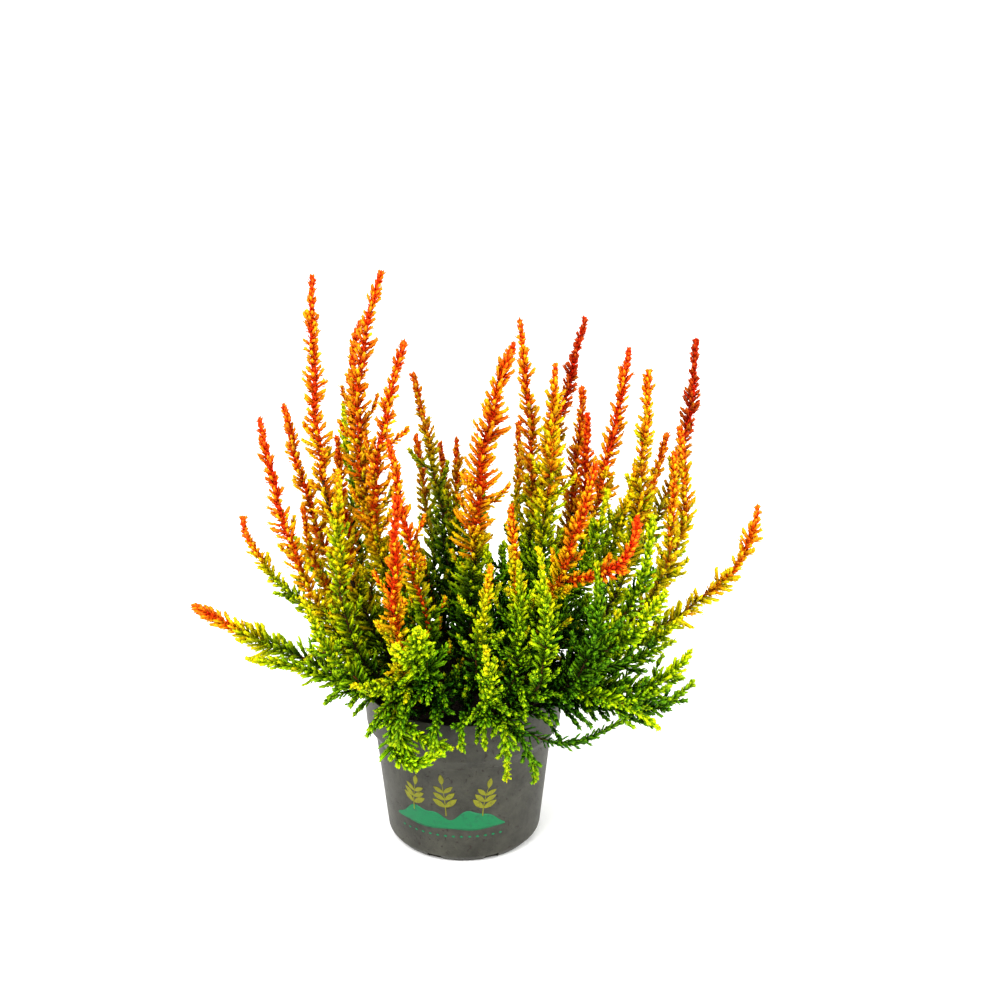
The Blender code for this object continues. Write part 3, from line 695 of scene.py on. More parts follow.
@dataclass(frozen=True)
class StemRoute:
    """The rule that gives each stem its place in the soil and its bend."""

    hole_depth: float = 12 * MM
    lean_start: float = 91 * MM
    foot_share: float = 0.34
    foot_reach: float = 36 * MM
    foot_spacing: float = 6.2 * MM
    foot_passes: int = 60
    tightness: float = 0.8
    bare: float = 34 * MM
    fork_bare: float = 9 * MM
    stem_wood: float = 1.3 * MM
    branch_wood: float = 1.1 * MM
    steps: int = 48
    sway: float = 0.9 * MM
    sway_length: float = 46 * MM
    sway_ratio: float = 0.83
    sprig_thickness: float = 0.6

    def feet(self) -> dict[str, np.ndarray]:
        """Spread the places where stems leave the soil until they stand clear of each other.

        Returns:
            The place of each stem by name.
        """
        roots = [stem for stem in STEMS if not stem.parent]
        places = np.array([stem.knee_mm[:2] for stem in roots]) * MM * self.foot_share
        places = self._drawn_in(places)
        for _ in range(self.foot_passes):
            apart = places[:, None] - places[None]
            gap = np.linalg.norm(apart, axis=2)
            np.fill_diagonal(gap, 1.0)
            push = np.clip(self.foot_spacing - gap, 0.0, None) / 2
            moved = (apart / gap[..., None] * push[..., None]).sum(axis=1)
            places = self._drawn_in(places + moved)
        return {stem.name: np.array((*place, self.lean_start))
                for stem, place in zip(roots, places)}

    def _drawn_in(self, places: np.ndarray) -> np.ndarray:
        """Keep places within reach of the middle."""
        reach = np.linalg.norm(places, axis=1)
        return places * np.minimum(1.0, self.foot_reach / reach)[:, None]

    def bend(self, foot: np.ndarray, knee: np.ndarray, tip: np.ndarray) -> np.ndarray:
        """Draw the curve of a stem.

        Args:
            foot: Its first point.
            knee: Point that it bends towards.
            tip: Its last point.

        Returns:
            Points along it.
        """
        share = np.linspace(0.0, 1.0, self.steps + 1)[:, None]
        near = foot + (knee - foot) * self.tightness
        far = tip + (knee - tip) * self.tightness
        rest = 1.0 - share
        return (rest**3 * foot + 3 * rest**2 * share * near + 3 * rest * share**2 * far
                + share**3 * tip)

    def swayed(self, points: np.ndarray, rng: np.random.Generator) -> np.ndarray:
        """Let a line waver a little between its ends, as grown wood does.

        Args:
            points: The line.
            rng: Source of its phases.

        Returns:
            The line with its waves.
        """
        reached = travelled(points)
        phase = rng.uniform(0, math.tau, 2)
        turns = math.tau * reached / self.sway_length
        fade = np.sin(np.pi * reached / reached[-1])
        offset = np.stack((np.sin(turns + phase[0]), np.sin(turns * self.sway_ratio + phase[1]),
                           np.zeros_like(turns)), axis=1)
        return points + offset * fade[:, None] * self.sway

    def axes(self, rng: np.random.Generator) -> dict[str, Axis]:
        """Draw the centre lines of all stems and branches.

        Args:
            rng: Source of their waves.

        Returns:
            The lines by name.
        """
        feet = self.feet()
        made: dict[str, Axis] = {}
        for stem in STEMS:
            knee = np.array(stem.knee_mm) * MM
            tip = np.array(stem.tip_mm) * MM
            if stem.parent:
                parent = made[stem.parent]
                foot = parent.read(parent.points, np.array(parent.length * stem.fork))
                points = self.swayed(self.bend(foot, knee, tip), rng)
                bare = self.fork_bare
                wood = self.branch_wood
            else:
                foot = feet[stem.name]
                buried = np.array((foot[0], foot[1], self.lean_start - self.hole_depth))
                points = np.vstack((buried, self.swayed(self.bend(foot, knee, tip), rng)))
                bare = self.hole_depth + self.bare
                wood = self.stem_wood
            thickness = self.sprig_thickness if stem.habit is Habit.SPRIG else 1.0
            made[stem.name] = Axis(points, bare, stem.fullness, stem.flush, wood, not stem.parent,
                                   stem.habit, thickness)
        return made


@dataclass(frozen=True)
class ShootPattern:
    """A straight shoot or a part of one, to be bent later.

    Each point is a share of the way along the shoot and an offset in metres from there.
    leaf says how far out on its scale leaf the point lies.
    """

    share: np.ndarray
    offset: np.ndarray
    leaf: np.ndarray
    faces: np.ndarray

    @classmethod
    def joined(cls, parts: list["ShootPattern"]) -> "ShootPattern":
        """Join parts.

        Args:
            parts: The parts in order.

        Returns:
            One pattern of them all.
        """
        firsts = np.cumsum([0] + [len(part.share) for part in parts[:-1]])
        return cls(np.concatenate([part.share for part in parts]),
                   np.concatenate([part.offset for part in parts]),
                   np.concatenate([part.leaf for part in parts]),
                   np.concatenate([part.faces + first for part, first in zip(parts, firsts)]))


@dataclass(frozen=True)
class ScaleShoot:
    """A slim core with pairs of scale leaves, each pair crossing the last.

    Towards the shoot's tip the leaves get smaller by shrink and lie closer by closing, lean in at
    their tips by tip_closing, and end lower by tip_drop. Lengths of a leaf's parts are shares of
    its own sizes, and core_marks and leaf_marks say how far out on a leaf their points count.
    """

    leaf_length: float = 2.35 * MM
    leaf_width: float = 1.45 * MM
    leaf_spread: float = 1.7 * MM
    leaf_sizes: tuple[float, float] = (0.88, 1.14)
    leaf_marks: tuple[float, ...] = (0.3, 0.3, 0.8, 1.0)
    turn_spread: float = 0.14
    first_station: float = 0.25
    foot_reach: float = 0.6
    foot_tuck: float = 0.05
    keel_rise: float = 0.5
    tip_reach: float = 0.98
    tip_closing: float = 0.42
    tip_drop: float = 0.2
    shrink: float = 0.22
    closing: float = 0.15
    core_radius: float = 1.08 * MM
    core_foot: float = 0.72
    core_shoulder: float = 0.82
    core_tip: float = 0.5 * MM
    core_marks: tuple[float, float] = (0.3, 0.7)
    variants: int = 3

    def core(self) -> ShootPattern:
        """Shape the core: a four-sided tube that closes at its tip.

        Returns:
            The core as a pattern.
        """
        turns = [math.tau * (step + 0.5) / 4 for step in range(4)]
        ring = np.array([(math.cos(turn), math.sin(turn), 0.0) for turn in turns])
        offset = [*(ring * self.core_radius * self.core_foot), *(ring * self.core_radius),
                  (0.0, 0.0, self.core_tip)]
        sides = [(side, (side + 1) % 4) for side in range(4)]
        faces = [(0, 2, 1), (0, 3, 2), *[(low, far, far + 4) for low, far in sides],
                 *[(low, far + 4, low + 4) for low, far in sides],
                 *[(low + 4, far + 4, 8) for low, far in sides]]
        foot_mark, top_mark = self.core_marks
        return ShootPattern(np.array([0.0] * 4 + [self.core_shoulder] * 4 + [1.0]),
                            np.array(offset), np.array([foot_mark] * 4 + [top_mark] * 5),
                            np.array(faces))

    def scale_leaf(self, station: float, turn: float, size: float) -> ShootPattern:
        """Shape a scale leaf: a slim body with its foot on the core, a keel and a tip.

        Args:
            station: Share of the way along the shoot.
            turn: Its direction round the core.
            size: Its size against the usual.

        Returns:
            The leaf as a pattern.
        """
        spread = self.leaf_spread * size * (1.0 - self.closing * station**3)
        out = np.array((math.cos(turn), math.sin(turn), 0.0))
        beside = np.array((-math.sin(turn), math.cos(turn), 0.0))
        along = np.array((0.0, 0.0, self.leaf_length * size))
        width = beside * self.leaf_width * size / 2
        foot = out * self.core_radius * self.foot_reach - along * self.foot_tuck
        keel = out * spread + along * self.keel_rise
        tip = (out * spread * (self.tip_reach - self.tip_closing * station**2)
               + along * (1.0 - self.tip_drop * station**2))
        return ShootPattern(np.full(4, station), np.array((foot - width, foot + width, keel, tip)),
                            np.array(self.leaf_marks),
                            np.array(((0, 2, 3), (2, 1, 3), (0, 1, 2), (1, 0, 3))))

    def pattern(self, pairs: int, rng: np.random.Generator) -> ShootPattern:
        """Lay out a shoot.

        Args:
            pairs: Number of leaf pairs.
            rng: Source of small differences.

        Returns:
            The shoot's pattern.
        """
        parts = [self.core()]
        for pair in range(pairs):
            station = (pair + self.first_station) / pairs
            for half in range(2):
                turn = math.pi * (half + 0.5 * (pair % 2)) + rng.normal(0.0, self.turn_spread)
                size = rng.uniform(*self.leaf_sizes) * (1.0 - self.shrink * station**3)
                parts.append(self.scale_leaf(station, turn, size))
        return ShootPattern.joined(parts)


@dataclass(frozen=True)
class Shoots:
    """A row of side shoots: where each one grows, how it bends and how it looks.

    start and end are the directions in which it sets off and ends, roll is its turn about its own
    line, and glow is its brightness.
    """

    root: np.ndarray
    start: np.ndarray
    end: np.ndarray
    length: np.ndarray
    roll: np.ndarray
    thick: np.ndarray
    ripeness: np.ndarray
    glow: np.ndarray

    def chosen(self, index: np.ndarray) -> "Shoots":
        """The shoots at an index or mask."""
        return Shoots(*(getattr(self, part.name)[index] for part in fields(self)))

    def bent(self, pattern: ShootPattern) -> np.ndarray:
        """Bend a copy of a pattern along each shoot.

        Args:
            pattern: The pattern to copy.

        Returns:
            The points of every copy.
        """
        share = pattern.share[None, :, None]
        start = self.start[:, None]
        end = self.end[:, None]
        middle = self.root[:, None] + self.length[:, None, None] * arc(start, end, share)
        heading = unit(start + share * (end - start))
        binormal = unit(np.cross(self.start, self.end))[:, None]
        normal = np.cross(binormal, heading)
        offset = pattern.offset[None] * self.thick[:, None, None]
        cosine = np.cos(self.roll)[:, None]
        sine = np.sin(self.roll)[:, None]
        first = offset[..., 0] * cosine - offset[..., 1] * sine
        second = offset[..., 0] * sine + offset[..., 1] * cosine
        return (middle + normal * first[..., None] + binormal * second[..., None]
                + heading * offset[..., 2][..., None])


@dataclass(frozen=True)
class Foliage:
    """Colours of living shoots by ripeness, from shaded green through lime to red.

    A pair of numbers is where something begins and where it is complete, as ripeness, or in
    metres from the middle of the plant or above its foot.
    """

    steps: tuple[float, ...] = (0.0, 0.2, 0.36, 0.48, 0.6, 0.72, 0.84, 1.0)
    tones: tuple[str, ...] = ("#1c4206", "#3c7008", "#74a00a", "#b0c40a", "#dcc80c", "#f2ac12",
                              "#f07610", "#e63a08")
    wood_steps: tuple[float, ...] = (0.0, 0.4, 0.7, 1.0)
    wood_tones: tuple[str, ...] = ("#33200f", "#5c3a16", "#a03a0c", "#c83208")
    golden: tuple[float, float] = (0.58, 0.74)
    golden_root_ripening: float = 0.3
    lime: tuple[float, float] = (0.45, 0.65)
    lime_root_greening: float = 0.22
    root_fade: float = 1.3
    orange: tuple[float, float] = (0.55, 0.8)
    orange_leaf_tip_paling: float = 0.05
    # Painted shade: how much darker a shoot is at its root, and how much less so when it is
    # golden.
    root_darkening: float = 0.45
    golden_root_lightening: float = 0.27
    # Painted shade at the foot of each scale leaf and a painted highlight at its tip.
    leaf_foot_level: float = 0.8
    leaf_tip_gain: float = 0.26
    golden_darkening: float = 0.16
    # Shoots deep, low or near the rim get greener, darker tones: partly their own colour, partly
    # painted shade.
    middle_across: float = 10 * MM
    deep: tuple[float, float] = (30 * MM, 85 * MM)
    low: tuple[float, float] = (130 * MM, 215 * MM)
    deep_greening: float = 0.3
    near_rim: tuple[float, float] = (95 * MM, 145 * MM)
    rim_greening: float = 0.07

    def leaf(self, ripeness: np.ndarray) -> np.ndarray:
        """Linear colour of leaves."""
        return self._mixed(ripeness, self.steps, self.tones)

    def wood(self, ripeness: np.ndarray) -> np.ndarray:
        """Linear colour of bark."""
        return self._mixed(ripeness, self.wood_steps, self.wood_tones)

    @staticmethod
    def _mixed(ripeness: np.ndarray, steps: tuple, tones: tuple) -> np.ndarray:
        """Mix tones between the steps."""
        table = np.array([linear(tone) for tone in tones])
        return np.stack([np.interp(ripeness, steps, table[:, part]) for part in range(3)], axis=-1)

    def shade(self, places: np.ndarray) -> np.ndarray:
        """Find how much greener and darker shoots are that grow deep or low in the plant: partly
        their own colour, partly painted shade.

        Args:
            places: Where they grow.

        Returns:
            What shade takes from their ripeness.
        """
        reach = np.hypot(places[:, 0] - self.middle_across, places[:, 1])
        deep = 1.0 - smooth_share(reach, *self.deep)
        low = 1.0 - smooth_share(places[:, 2], *self.low)
        near_rim = 1.0 - smooth_share(places[:, 2], *self.near_rim)
        return self.deep_greening * deep * low + self.rim_greening * near_rim

    def shoot_tones(self, pattern: ShootPattern, shoots: Shoots) -> np.ndarray:
        """Colour shoots: redder or greener at the root, with painted shade that darkens the root
        and each leaf's foot, and a painted highlight that brightens each leaf's tip.

        Args:
            pattern: Pattern that they all have.
            shoots: The shoots.

        Returns:
            Linear colour of every point of every shoot.
        """
        ripe = shoots.ripeness[:, None]
        from_tip = 1.0 - pattern.share[None]
        golden = smooth_share(ripe, *self.golden)
        lime = 1.0 - smooth_share(ripe, *self.lime)
        root_shift = self.golden_root_ripening * golden - self.lime_root_greening * lime
        ripe = ripe + root_shift * from_tip**self.root_fade
        paling = self.orange_leaf_tip_paling * pattern.leaf[None]
        ripe = ripe - paling * smooth_share(ripe, *self.orange)
        # Painted shade that darkens each shoot towards its root.
        deep = (self.root_darkening - self.golden_root_lightening * golden) * from_tip
        # Painted shade at each leaf's foot and a painted highlight at its tip.
        level = (self.leaf_foot_level + self.leaf_tip_gain * pattern.leaf[None]) * (1.0 - deep)
        level = level * shoots.glow[:, None] * (1.0 - self.golden_darkening * golden)
        return self.leaf(np.clip(ripe, 0.0, 1.0)) * level[..., None]


@dataclass
class Batch:
    """Points, triangles and tones of one piece, with a material slot for each triangle."""

    points: list[np.ndarray] = field(default_factory=list)
    faces: list[np.ndarray] = field(default_factory=list)
    tones: list[np.ndarray] = field(default_factory=list)
    slots: list[np.ndarray] = field(default_factory=list)
    count: int = 0

    def add(self, points: np.ndarray, faces: np.ndarray, slot: int = 0,
            tones: np.ndarray | None = None) -> None:
        """Take in one more body or row of bodies.

        Args:
            points: Its points.
            faces: Its triangles, by the order of its own points.
            slot: Its material slot.
            tones: Linear colour of its points, where the material needs it.
        """
        self.faces.append(faces + self.count)
        self.points.append(points)
        self.tones.append(np.zeros_like(points) if tones is None else tones)
        self.slots.append(np.full(len(faces), slot, dtype=np.int32))
        self.count += len(points)

    def piece(self, name: str, materials: list[Material], layer: str) -> MeshObject:
        """Make the object.

        Args:
            name: Name of the piece.
            materials: Its materials in the order of the slots.
            layer: Name of the colour layer that holds the tones.

        Returns:
            The piece, in the scene.
        """
        points = np.concatenate(self.points)
        faces = np.concatenate(self.faces)
        tones = np.concatenate(self.tones)
        mesh = bpy.data.meshes.new(name)
        mesh.vertices.add(len(points))
        mesh.vertices.foreach_set("co", points.astype(np.float32).ravel())
        mesh.loops.add(faces.size)
        mesh.loops.foreach_set("vertex_index", faces.astype(np.int32).ravel())
        mesh.polygons.add(len(faces))
        mesh.polygons.foreach_set("loop_start", np.arange(0, faces.size, 3, dtype=np.int32))
        mesh.polygons.foreach_set("material_index", np.concatenate(self.slots))
        mesh.update(calc_edges=True)
        colours = mesh.color_attributes.new(layer, "FLOAT_COLOR", "POINT")
        full = np.concatenate((tones, np.ones((len(tones), 1))), axis=1)
        colours.data.foreach_set("color", full.astype(np.float32).ravel())
        for material in materials:
            mesh.materials.append(material)
        mesh.shade_smooth()
        return placed(name, mesh)


@dataclass(frozen=True)
class StemWood:
    """The wood of a line: a tapered tube, brown at its foot and red where it is young."""

    tip_radius: float = 0.38 * MM
    tip_gap: float = 1.0 * MM
    taper: float = 190 * MM
    stem_sides: int = 5
    stem_rings: int = 24
    twig_sides: int = 3
    twig_rings: int = 6
    browning: float = 0.7
    brown_age: tuple[float, float] = (50 * MM, 150 * MM)

    def add(self, batch: Batch, axis: Axis, foliage: Foliage, slot: int) -> None:
        """Add a line's wood to a batch.

        Args:
            batch: Batch that gets it.
            axis: The line.
            foliage: Colours of its bark.
            slot: Material slot of its bark.
        """
        sides = self.twig_sides if axis.is_twig else self.stem_sides
        rings = self.twig_rings if axis.is_twig else self.stem_rings
        stops = np.linspace(0.0, axis.length - self.tip_gap, rings)
        cross = axis.read(axis.cross, stops)
        middle = axis.read(axis.points, stops)
        taper = np.clip((axis.length - stops) / self.taper, 0.0, 1.0)
        radius = self.tip_radius + (axis.wood_radius - self.tip_radius) * taper
        turn = math.tau * np.arange(sides) / sides
        ring = (cross[:, 0][:, None] * np.cos(turn)[None, :, None]
                + cross[:, 1][:, None] * np.sin(turn)[None, :, None])
        points = middle[:, None] + ring * radius[:, None, None]
        low = np.arange((rings - 1) * sides)
        beside = next_round(low, sides)
        last = (rings - 1) * sides
        caps = [(last, last + step, last + step + 1) for step in range(1, sides - 1)]
        caps += [(0, step + 1, step) for step in range(1, sides - 1)]
        faces = np.concatenate((np.stack((low, beside, beside + sides), axis=1),
                                np.stack((low, beside + sides, low + sides), axis=1),
                                np.array(caps)))
        from_tip = axis.length - stops
        brown = smooth_share(from_tip + axis.below_tip, *self.brown_age)
        ripeness = axis.ripeness(from_tip) - self.browning * brown
        tones = np.repeat(foliage.wood(ripeness), sides, axis=0)
        batch.add(points.reshape(-1, 3), faces, slot, tones)


@dataclass(frozen=True)
class TwigRule:
    """Where a stem carries short leafy twigs, how long they are and how they bend.

    From start below its leafy top down to floor above its foot, they stand spacing apart, or
    closer in the mat low in the plant. Each one sets off outwards and bends ahead, out and up.
    Those that grow low, between droop_start and droop_end from the middle, hang over the rim.
    """

    start: float = 14 * MM
    floor: float = 22 * MM
    spacing: float = 11 * MM
    turn: float = math.radians(137.5)
    length: float = 25 * MM
    lengths: tuple[float, float] = (0.7, 1.15)
    shortest: float = 7 * MM
    top_length: float = 0.3
    taper: float = 60 * MM
    set_off: float = 0.6
    ahead: float = 1.1
    outward: float = 0.5
    upward: float = 0.35
    steps: int = 8
    clearance: float = 2.5 * MM
    bare: float = 3 * MM
    fullness: float = 0.8
    thickness: float = 0.64
    wood: float = 0.6 * MM
    ageing: float = 1.15
    least_age: float = 10 * MM
    mat_height: float = 165 * MM
    mat_spacing: float = 6.5 * MM
    droop_height: float = 136 * MM
    droop_start: float = 38 * MM
    droop_end: float = 74 * MM
    droop_spacing: float = 5 * MM
    droop_length: float = 1.05
    droop_pull: float = 1.1
    droop_ahead: float = 0.3
    droop_outward: float = 0.7
    droop_downward: float = 0.6

    def twigs(self, axis: Axis, pot: PotShape, rng: np.random.Generator) -> list[Axis]:
        """Grow the twigs of a stem or branch.

        Args:
            axis: Its centre line.
            pot: Pot that they keep clear of.
            rng: Source of small differences.

        Returns:
            The centre lines of its twigs.
        """
        branching = axis.habit.value
        made = []
        turn = rng.uniform(0, math.tau)
        from_tip = self.start + axis.leafy * axis.flush.value.twig_share
        while from_tip < axis.length - self.floor and branching.length > 0.0:
            foot, heading, (side, across) = axis.stations(np.array(axis.length - from_tip))
            turn += self.turn
            out = side * math.cos(turn) + across * math.sin(turn)
            length = (self.length * branching.length * rng.uniform(*self.lengths)
                      * min(1.0, axis.fullness, self.top_length + from_tip / self.taper))
            end = unit(heading * self.ahead + out * self.outward
                       + np.array((0.0, 0.0, self.upward)))
            reach = math.hypot(foot[0], foot[1])
            spacing = self.mat_spacing if foot[2] < self.mat_height else self.spacing
            if reach > self.droop_end:
                length *= branching.outer_length
            elif axis.drooping and foot[2] < self.droop_height and reach > self.droop_start:
                spacing = self.droop_spacing
                out = unit(out + np.array((foot[0], foot[1], 0.0)) / reach * self.droop_pull)
                length *= self.droop_length
                end = unit(heading * self.droop_ahead + out * self.droop_outward
                           - np.array((0.0, 0.0, self.droop_downward)))
            share = np.linspace(0.0, 1.0, self.steps + 1)[:, None]
            points = foot + length * arc(unit(heading * self.set_off + out), end, share)
            if length > self.shortest and pot.clear(points[2:], self.clearance).all():
                made.append(Axis(points, self.bare, self.fullness, axis.flush, self.wood, False,
                                 Habit.SPRIG, self.thickness,
                                 from_tip * self.ageing + self.least_age))
            from_tip += spacing * branching.spacing
        return made


@dataclass(frozen=True)
class ShootRule:
    """How the side shoots of a line are spaced, lengthen, open and vary below its tip.

    Plump shoots are those of ripe tips, and slim ones those of lime stems. A pair of numbers is
    the range of a random share, apart from plump_ripeness.
    """

    first_pair: float = 3.4 * MM
    spacing: float = 2.25 * MM
    tip_spacing: float = 0.66
    spacing_gain: float = 0.34
    turn_spread: float = 0.42
    tip_angle: float = math.radians(16)
    full_angle: float = math.radians(54)
    angle_spread: float = 0.15
    root_opening: float = math.radians(12)
    end_closing: float = math.radians(16)
    end_lift: float = 0.12
    tip_length: float = 3.2 * MM
    growth: float = 5.2 * MM
    growth_reach: float = 32 * MM
    slope: float = 0.014
    wave: float = 0.18
    wave_step: float = 5.5 * MM
    lengths: tuple[float, float] = (0.74, 1.22)
    checked_shares: tuple[float, ...] = (0.0, 0.5, 0.75, 1.0)
    clearance: float = 1.3 * MM
    missing: float = 0.05
    ripeness_spread: float = 0.035
    plump_ripeness: tuple[float, float] = (0.46, 0.62)
    plump_leaf_step: float = 2.15 * MM
    slim_leaf_step: float = 2.5 * MM
    fewest_pairs: int = 2
    most_pairs: int = 8
    thicknesses: tuple[float, float] = (0.9, 1.12)
    tip_thickness: float = 0.85
    thickness_gain: float = 0.15
    slim_thickness: float = 0.86
    glows: tuple[float, float] = (0.82, 1.12)

    def pair_stops(self, axis: Axis) -> np.ndarray:
        """Find where a line carries its pairs of side shoots.

        Args:
            axis: The line.

        Returns:
            Distances from its tip.
        """
        stops = []
        from_tip = self.first_pair
        while from_tip < axis.leafy:
            stops.append(from_tip)
            opened = 1.0 - math.exp(-from_tip / self.growth_reach)
            closeness = max(1.0, axis.fullness) ** 0.5
            from_tip += self.spacing * (self.tip_spacing + self.spacing_gain * opened) / closeness
        return np.array(stops)

    def lay_out(self, axis: Axis, pot: PotShape, foliage: Foliage, variants: int,
                rng: np.random.Generator) -> tuple[Shoots, np.ndarray, np.ndarray]:
        """Lay out the side shoots of a line.

        Args:
            axis: The line.
            pot: Pot that they keep clear of.
            foliage: Shade that they grow in.
            variants: How many patterns there are for one number of leaf pairs.
            rng: Source of small differences.

        Returns:
            The shoots, with the number of leaf pairs and the variant of each.
        """
        stops = self.pair_stops(axis)
        from_tip = np.repeat(stops, 2)
        pair = np.repeat(np.arange(len(stops)), 2)
        count = len(from_tip)
        root, heading, cross = axis.stations(axis.length - from_tip)
        turn = math.pi * (np.arange(count) % 2) + math.pi / 2 * (pair % 2)
        turn = turn + rng.normal(0.0, self.turn_spread, count)
        out = cross[:, 0] * np.cos(turn)[:, None] + cross[:, 1] * np.sin(turn)[:, None]
        opened = 1.0 - np.exp(-from_tip / self.growth_reach)
        lean = self.tip_angle + (self.full_angle - self.tip_angle) * opened
        lean = lean + rng.normal(0.0, self.angle_spread, count)
        start = aimed(heading, out, lean + self.root_opening)
        end = unit(aimed(heading, out, lean - self.end_closing)
                   + np.array((0.0, 0.0, self.end_lift)))
        length = self.tip_length + (self.growth * opened + self.slope * from_tip) * axis.fullness
        wave = 1.0 + self.wave * np.sin(from_tip / self.wave_step + rng.uniform(0, math.tau))
        length = length * wave * rng.uniform(*self.lengths, count)
        kept = np.ones(count, dtype=bool)
        for share in self.checked_shares:
            kept &= pot.clear(root + length[:, None] * arc(start, end, share), self.clearance)
        kept &= rng.uniform(0, 1, count) > self.missing
        plump = smooth_share(axis.ripeness(from_tip), *self.plump_ripeness)
        ripeness = axis.ripeness(from_tip) + rng.normal(0.0, self.ripeness_spread, count)
        # Greener, darker tones deep or low in the plant: partly their own colour, partly painted
        # shade.
        ripeness = ripeness - foliage.shade(root)
        leaf_step = self.slim_leaf_step + (self.plump_leaf_step - self.slim_leaf_step) * plump
        pairs = np.clip(np.round(length / leaf_step * axis.thickness), self.fewest_pairs,
                        self.most_pairs).astype(int)
        variant = rng.integers(0, variants, count)
        roll = rng.uniform(0, math.tau, count)
        thick = rng.uniform(*self.thicknesses, count)
        thick = thick * (self.tip_thickness + self.thickness_gain * opened)
        fatness = self.slim_thickness + (1.0 - self.slim_thickness) * plump
        thick = thick * fatness * axis.thickness
        glow = rng.uniform(*self.glows, count) * axis.flush.value.light
        shoots = Shoots(root, start, end, length, roll, thick, ripeness, glow)
        return shoots.chosen(kept), pairs[kept], variant[kept]


@dataclass(frozen=True)
class LeaderRule:
    """The leaves that clothe a line itself: a chain of short thick shoots from its tip down."""

    step: float = 4.0 * MM
    reach: float = 60 * MM
    golden_reach: float = 120 * MM
    golden_ripeness: float = 0.7
    twig_reach: float = 6 * MM
    leaf_pairs: int = 3
    bend: float = 0.02
    overlap: float = 1.05
    tip_thickness: float = 0.95
    thickening: float = 0.3
    thickening_reach: float = 30 * MM
    ripening: float = 0.18
    tip_ripening: float = 0.2
    ripening_gain: float = 0.8
    ripening_reach: float = 32 * MM
    ripe: tuple[float, float] = (0.6, 0.75)
    glow: float = 0.95

    def lay_out(self, axis: Axis, rng: np.random.Generator) -> Shoots:
        """Lay out the chain of a line.

        Args:
            axis: The line.
            rng: Source of small differences.

        Returns:
            The chain as shoots.
        """
        reach = self.twig_reach
        if not axis.is_twig:
            golden = axis.flush.value.upper > self.golden_ripeness
            reach = self.golden_reach if golden else self.reach
        from_tip = np.arange(0.0, min(axis.leafy, reach), self.step) + self.step
        root, heading, cross = axis.stations(axis.length - from_tip)
        count = len(from_tip)
        lower = np.minimum(from_tip / self.ripening_reach, 1.0)
        older = self.tip_ripening + self.ripening_gain * lower
        ripeness = axis.ripeness(from_tip)
        ripeness = ripeness + self.ripening * older * smooth_share(ripeness, *self.ripe)
        thickened = np.minimum(from_tip / self.thickening_reach, 1.0)
        return Shoots(root,
                      unit(heading + cross[:, 0] * self.bend),
                      unit(heading - cross[:, 0] * self.bend),
                      np.full(count, self.step * self.overlap),
                      rng.uniform(0, math.tau, count),
                      self.tip_thickness + self.thickening * thickened,
                      ripeness,
                      np.full(count, self.glow))


@dataclass
class LeafyStems:
    """All leafy stems: their wood, their side shoots in crossing pairs, and low twigs."""

    pot: PotShape
    route: StemRoute = StemRoute()
    wood: StemWood = StemWood()
    twig_rule: TwigRule = TwigRule()
    shoot_rule: ShootRule = ShootRule()
    leader_rule: LeaderRule = LeaderRule()
    scale_shoot: ScaleShoot = ScaleShoot()
    foliage: Foliage = Foliage()
    leaf: ScaleLeaf = ScaleLeaf()
    bark: HeatherBark = HeatherBark()
    leaf_slot: int = 0
    bark_slot: int = 1
    patterns: dict[tuple[int, int], ShootPattern] = field(default_factory=dict)

    def build(self) -> list[MeshObject]:
        """Build every stem that stands in the soil, with its branches.

        Returns:
            One piece for each node of the solids.
        """
        rng = np.random.default_rng(SEED)
        for pairs in range(self.shoot_rule.fewest_pairs, self.shoot_rule.most_pairs + 1):
            for variant in range(self.scale_shoot.variants):
                self.patterns[pairs, variant] = self.scale_shoot.pattern(pairs, rng)
        materials = [self.leaf.material(), self.bark.material()]
        axes = self.route.axes(rng)
        pieces = []
        for stem in STEMS:
            if stem.parent:
                continue
            batch = Batch()
            for member in STEMS:
                if stem.name in (member.name, member.parent):
                    axis = axes[member.name]
                    self.grow(batch, axis, rng)
                    for twig in self.twig_rule.twigs(axis, self.pot, rng):
                        self.grow(batch, twig, rng)
            piece = batch.piece(f"{stem.name}_foliage", materials, self.leaf.layer)
            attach(piece, "root")
            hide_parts(stem.name)
            LOG.info("%s: %d triangles", piece.name, len(piece.data.polygons))
            pieces.append(piece)
        return pieces

    def grow(self, batch: Batch, axis: Axis, rng: np.random.Generator) -> None:
        """Add the wood, the side shoots and the leaves of one line to a batch.

        Args:
            batch: Batch that gets them.
            axis: The line.
            rng: Source of small differences.
        """
        self.wood.add(batch, axis, self.foliage, self.bark_slot)
        if axis.leafy <= self.shoot_rule.first_pair:
            return
        shoots, pairs, variants = self.shoot_rule.lay_out(axis, self.pot, self.foliage,
                                                          self.scale_shoot.variants, rng)
        for (pair_count, variant), pattern in self.patterns.items():
            chosen = (pairs == pair_count) & (variants == variant)
            if chosen.any():
                self.add_shoots(batch, pattern, shoots.chosen(chosen))
        chain = self.leader_rule.lay_out(axis, rng)
        self.add_shoots(batch, self.patterns[self.leader_rule.leaf_pairs, 0], chain)

    def add_shoots(self, batch: Batch, pattern: ShootPattern, shoots: Shoots) -> None:
        """Add shoots of one pattern to a batch.

        Args:
            batch: Batch that gets them.
            pattern: Their pattern.
            shoots: The shoots.
        """
        copies = np.arange(len(shoots.root))[:, None, None]
        faces = pattern.faces[None] + copies * len(pattern.share)
        tones = self.foliage.shoot_tones(pattern, shoots)
        batch.add(shoots.bent(pattern).reshape(-1, 3), faces.reshape(-1, 3), self.leaf_slot,
                  tones.reshape(-1, 3))


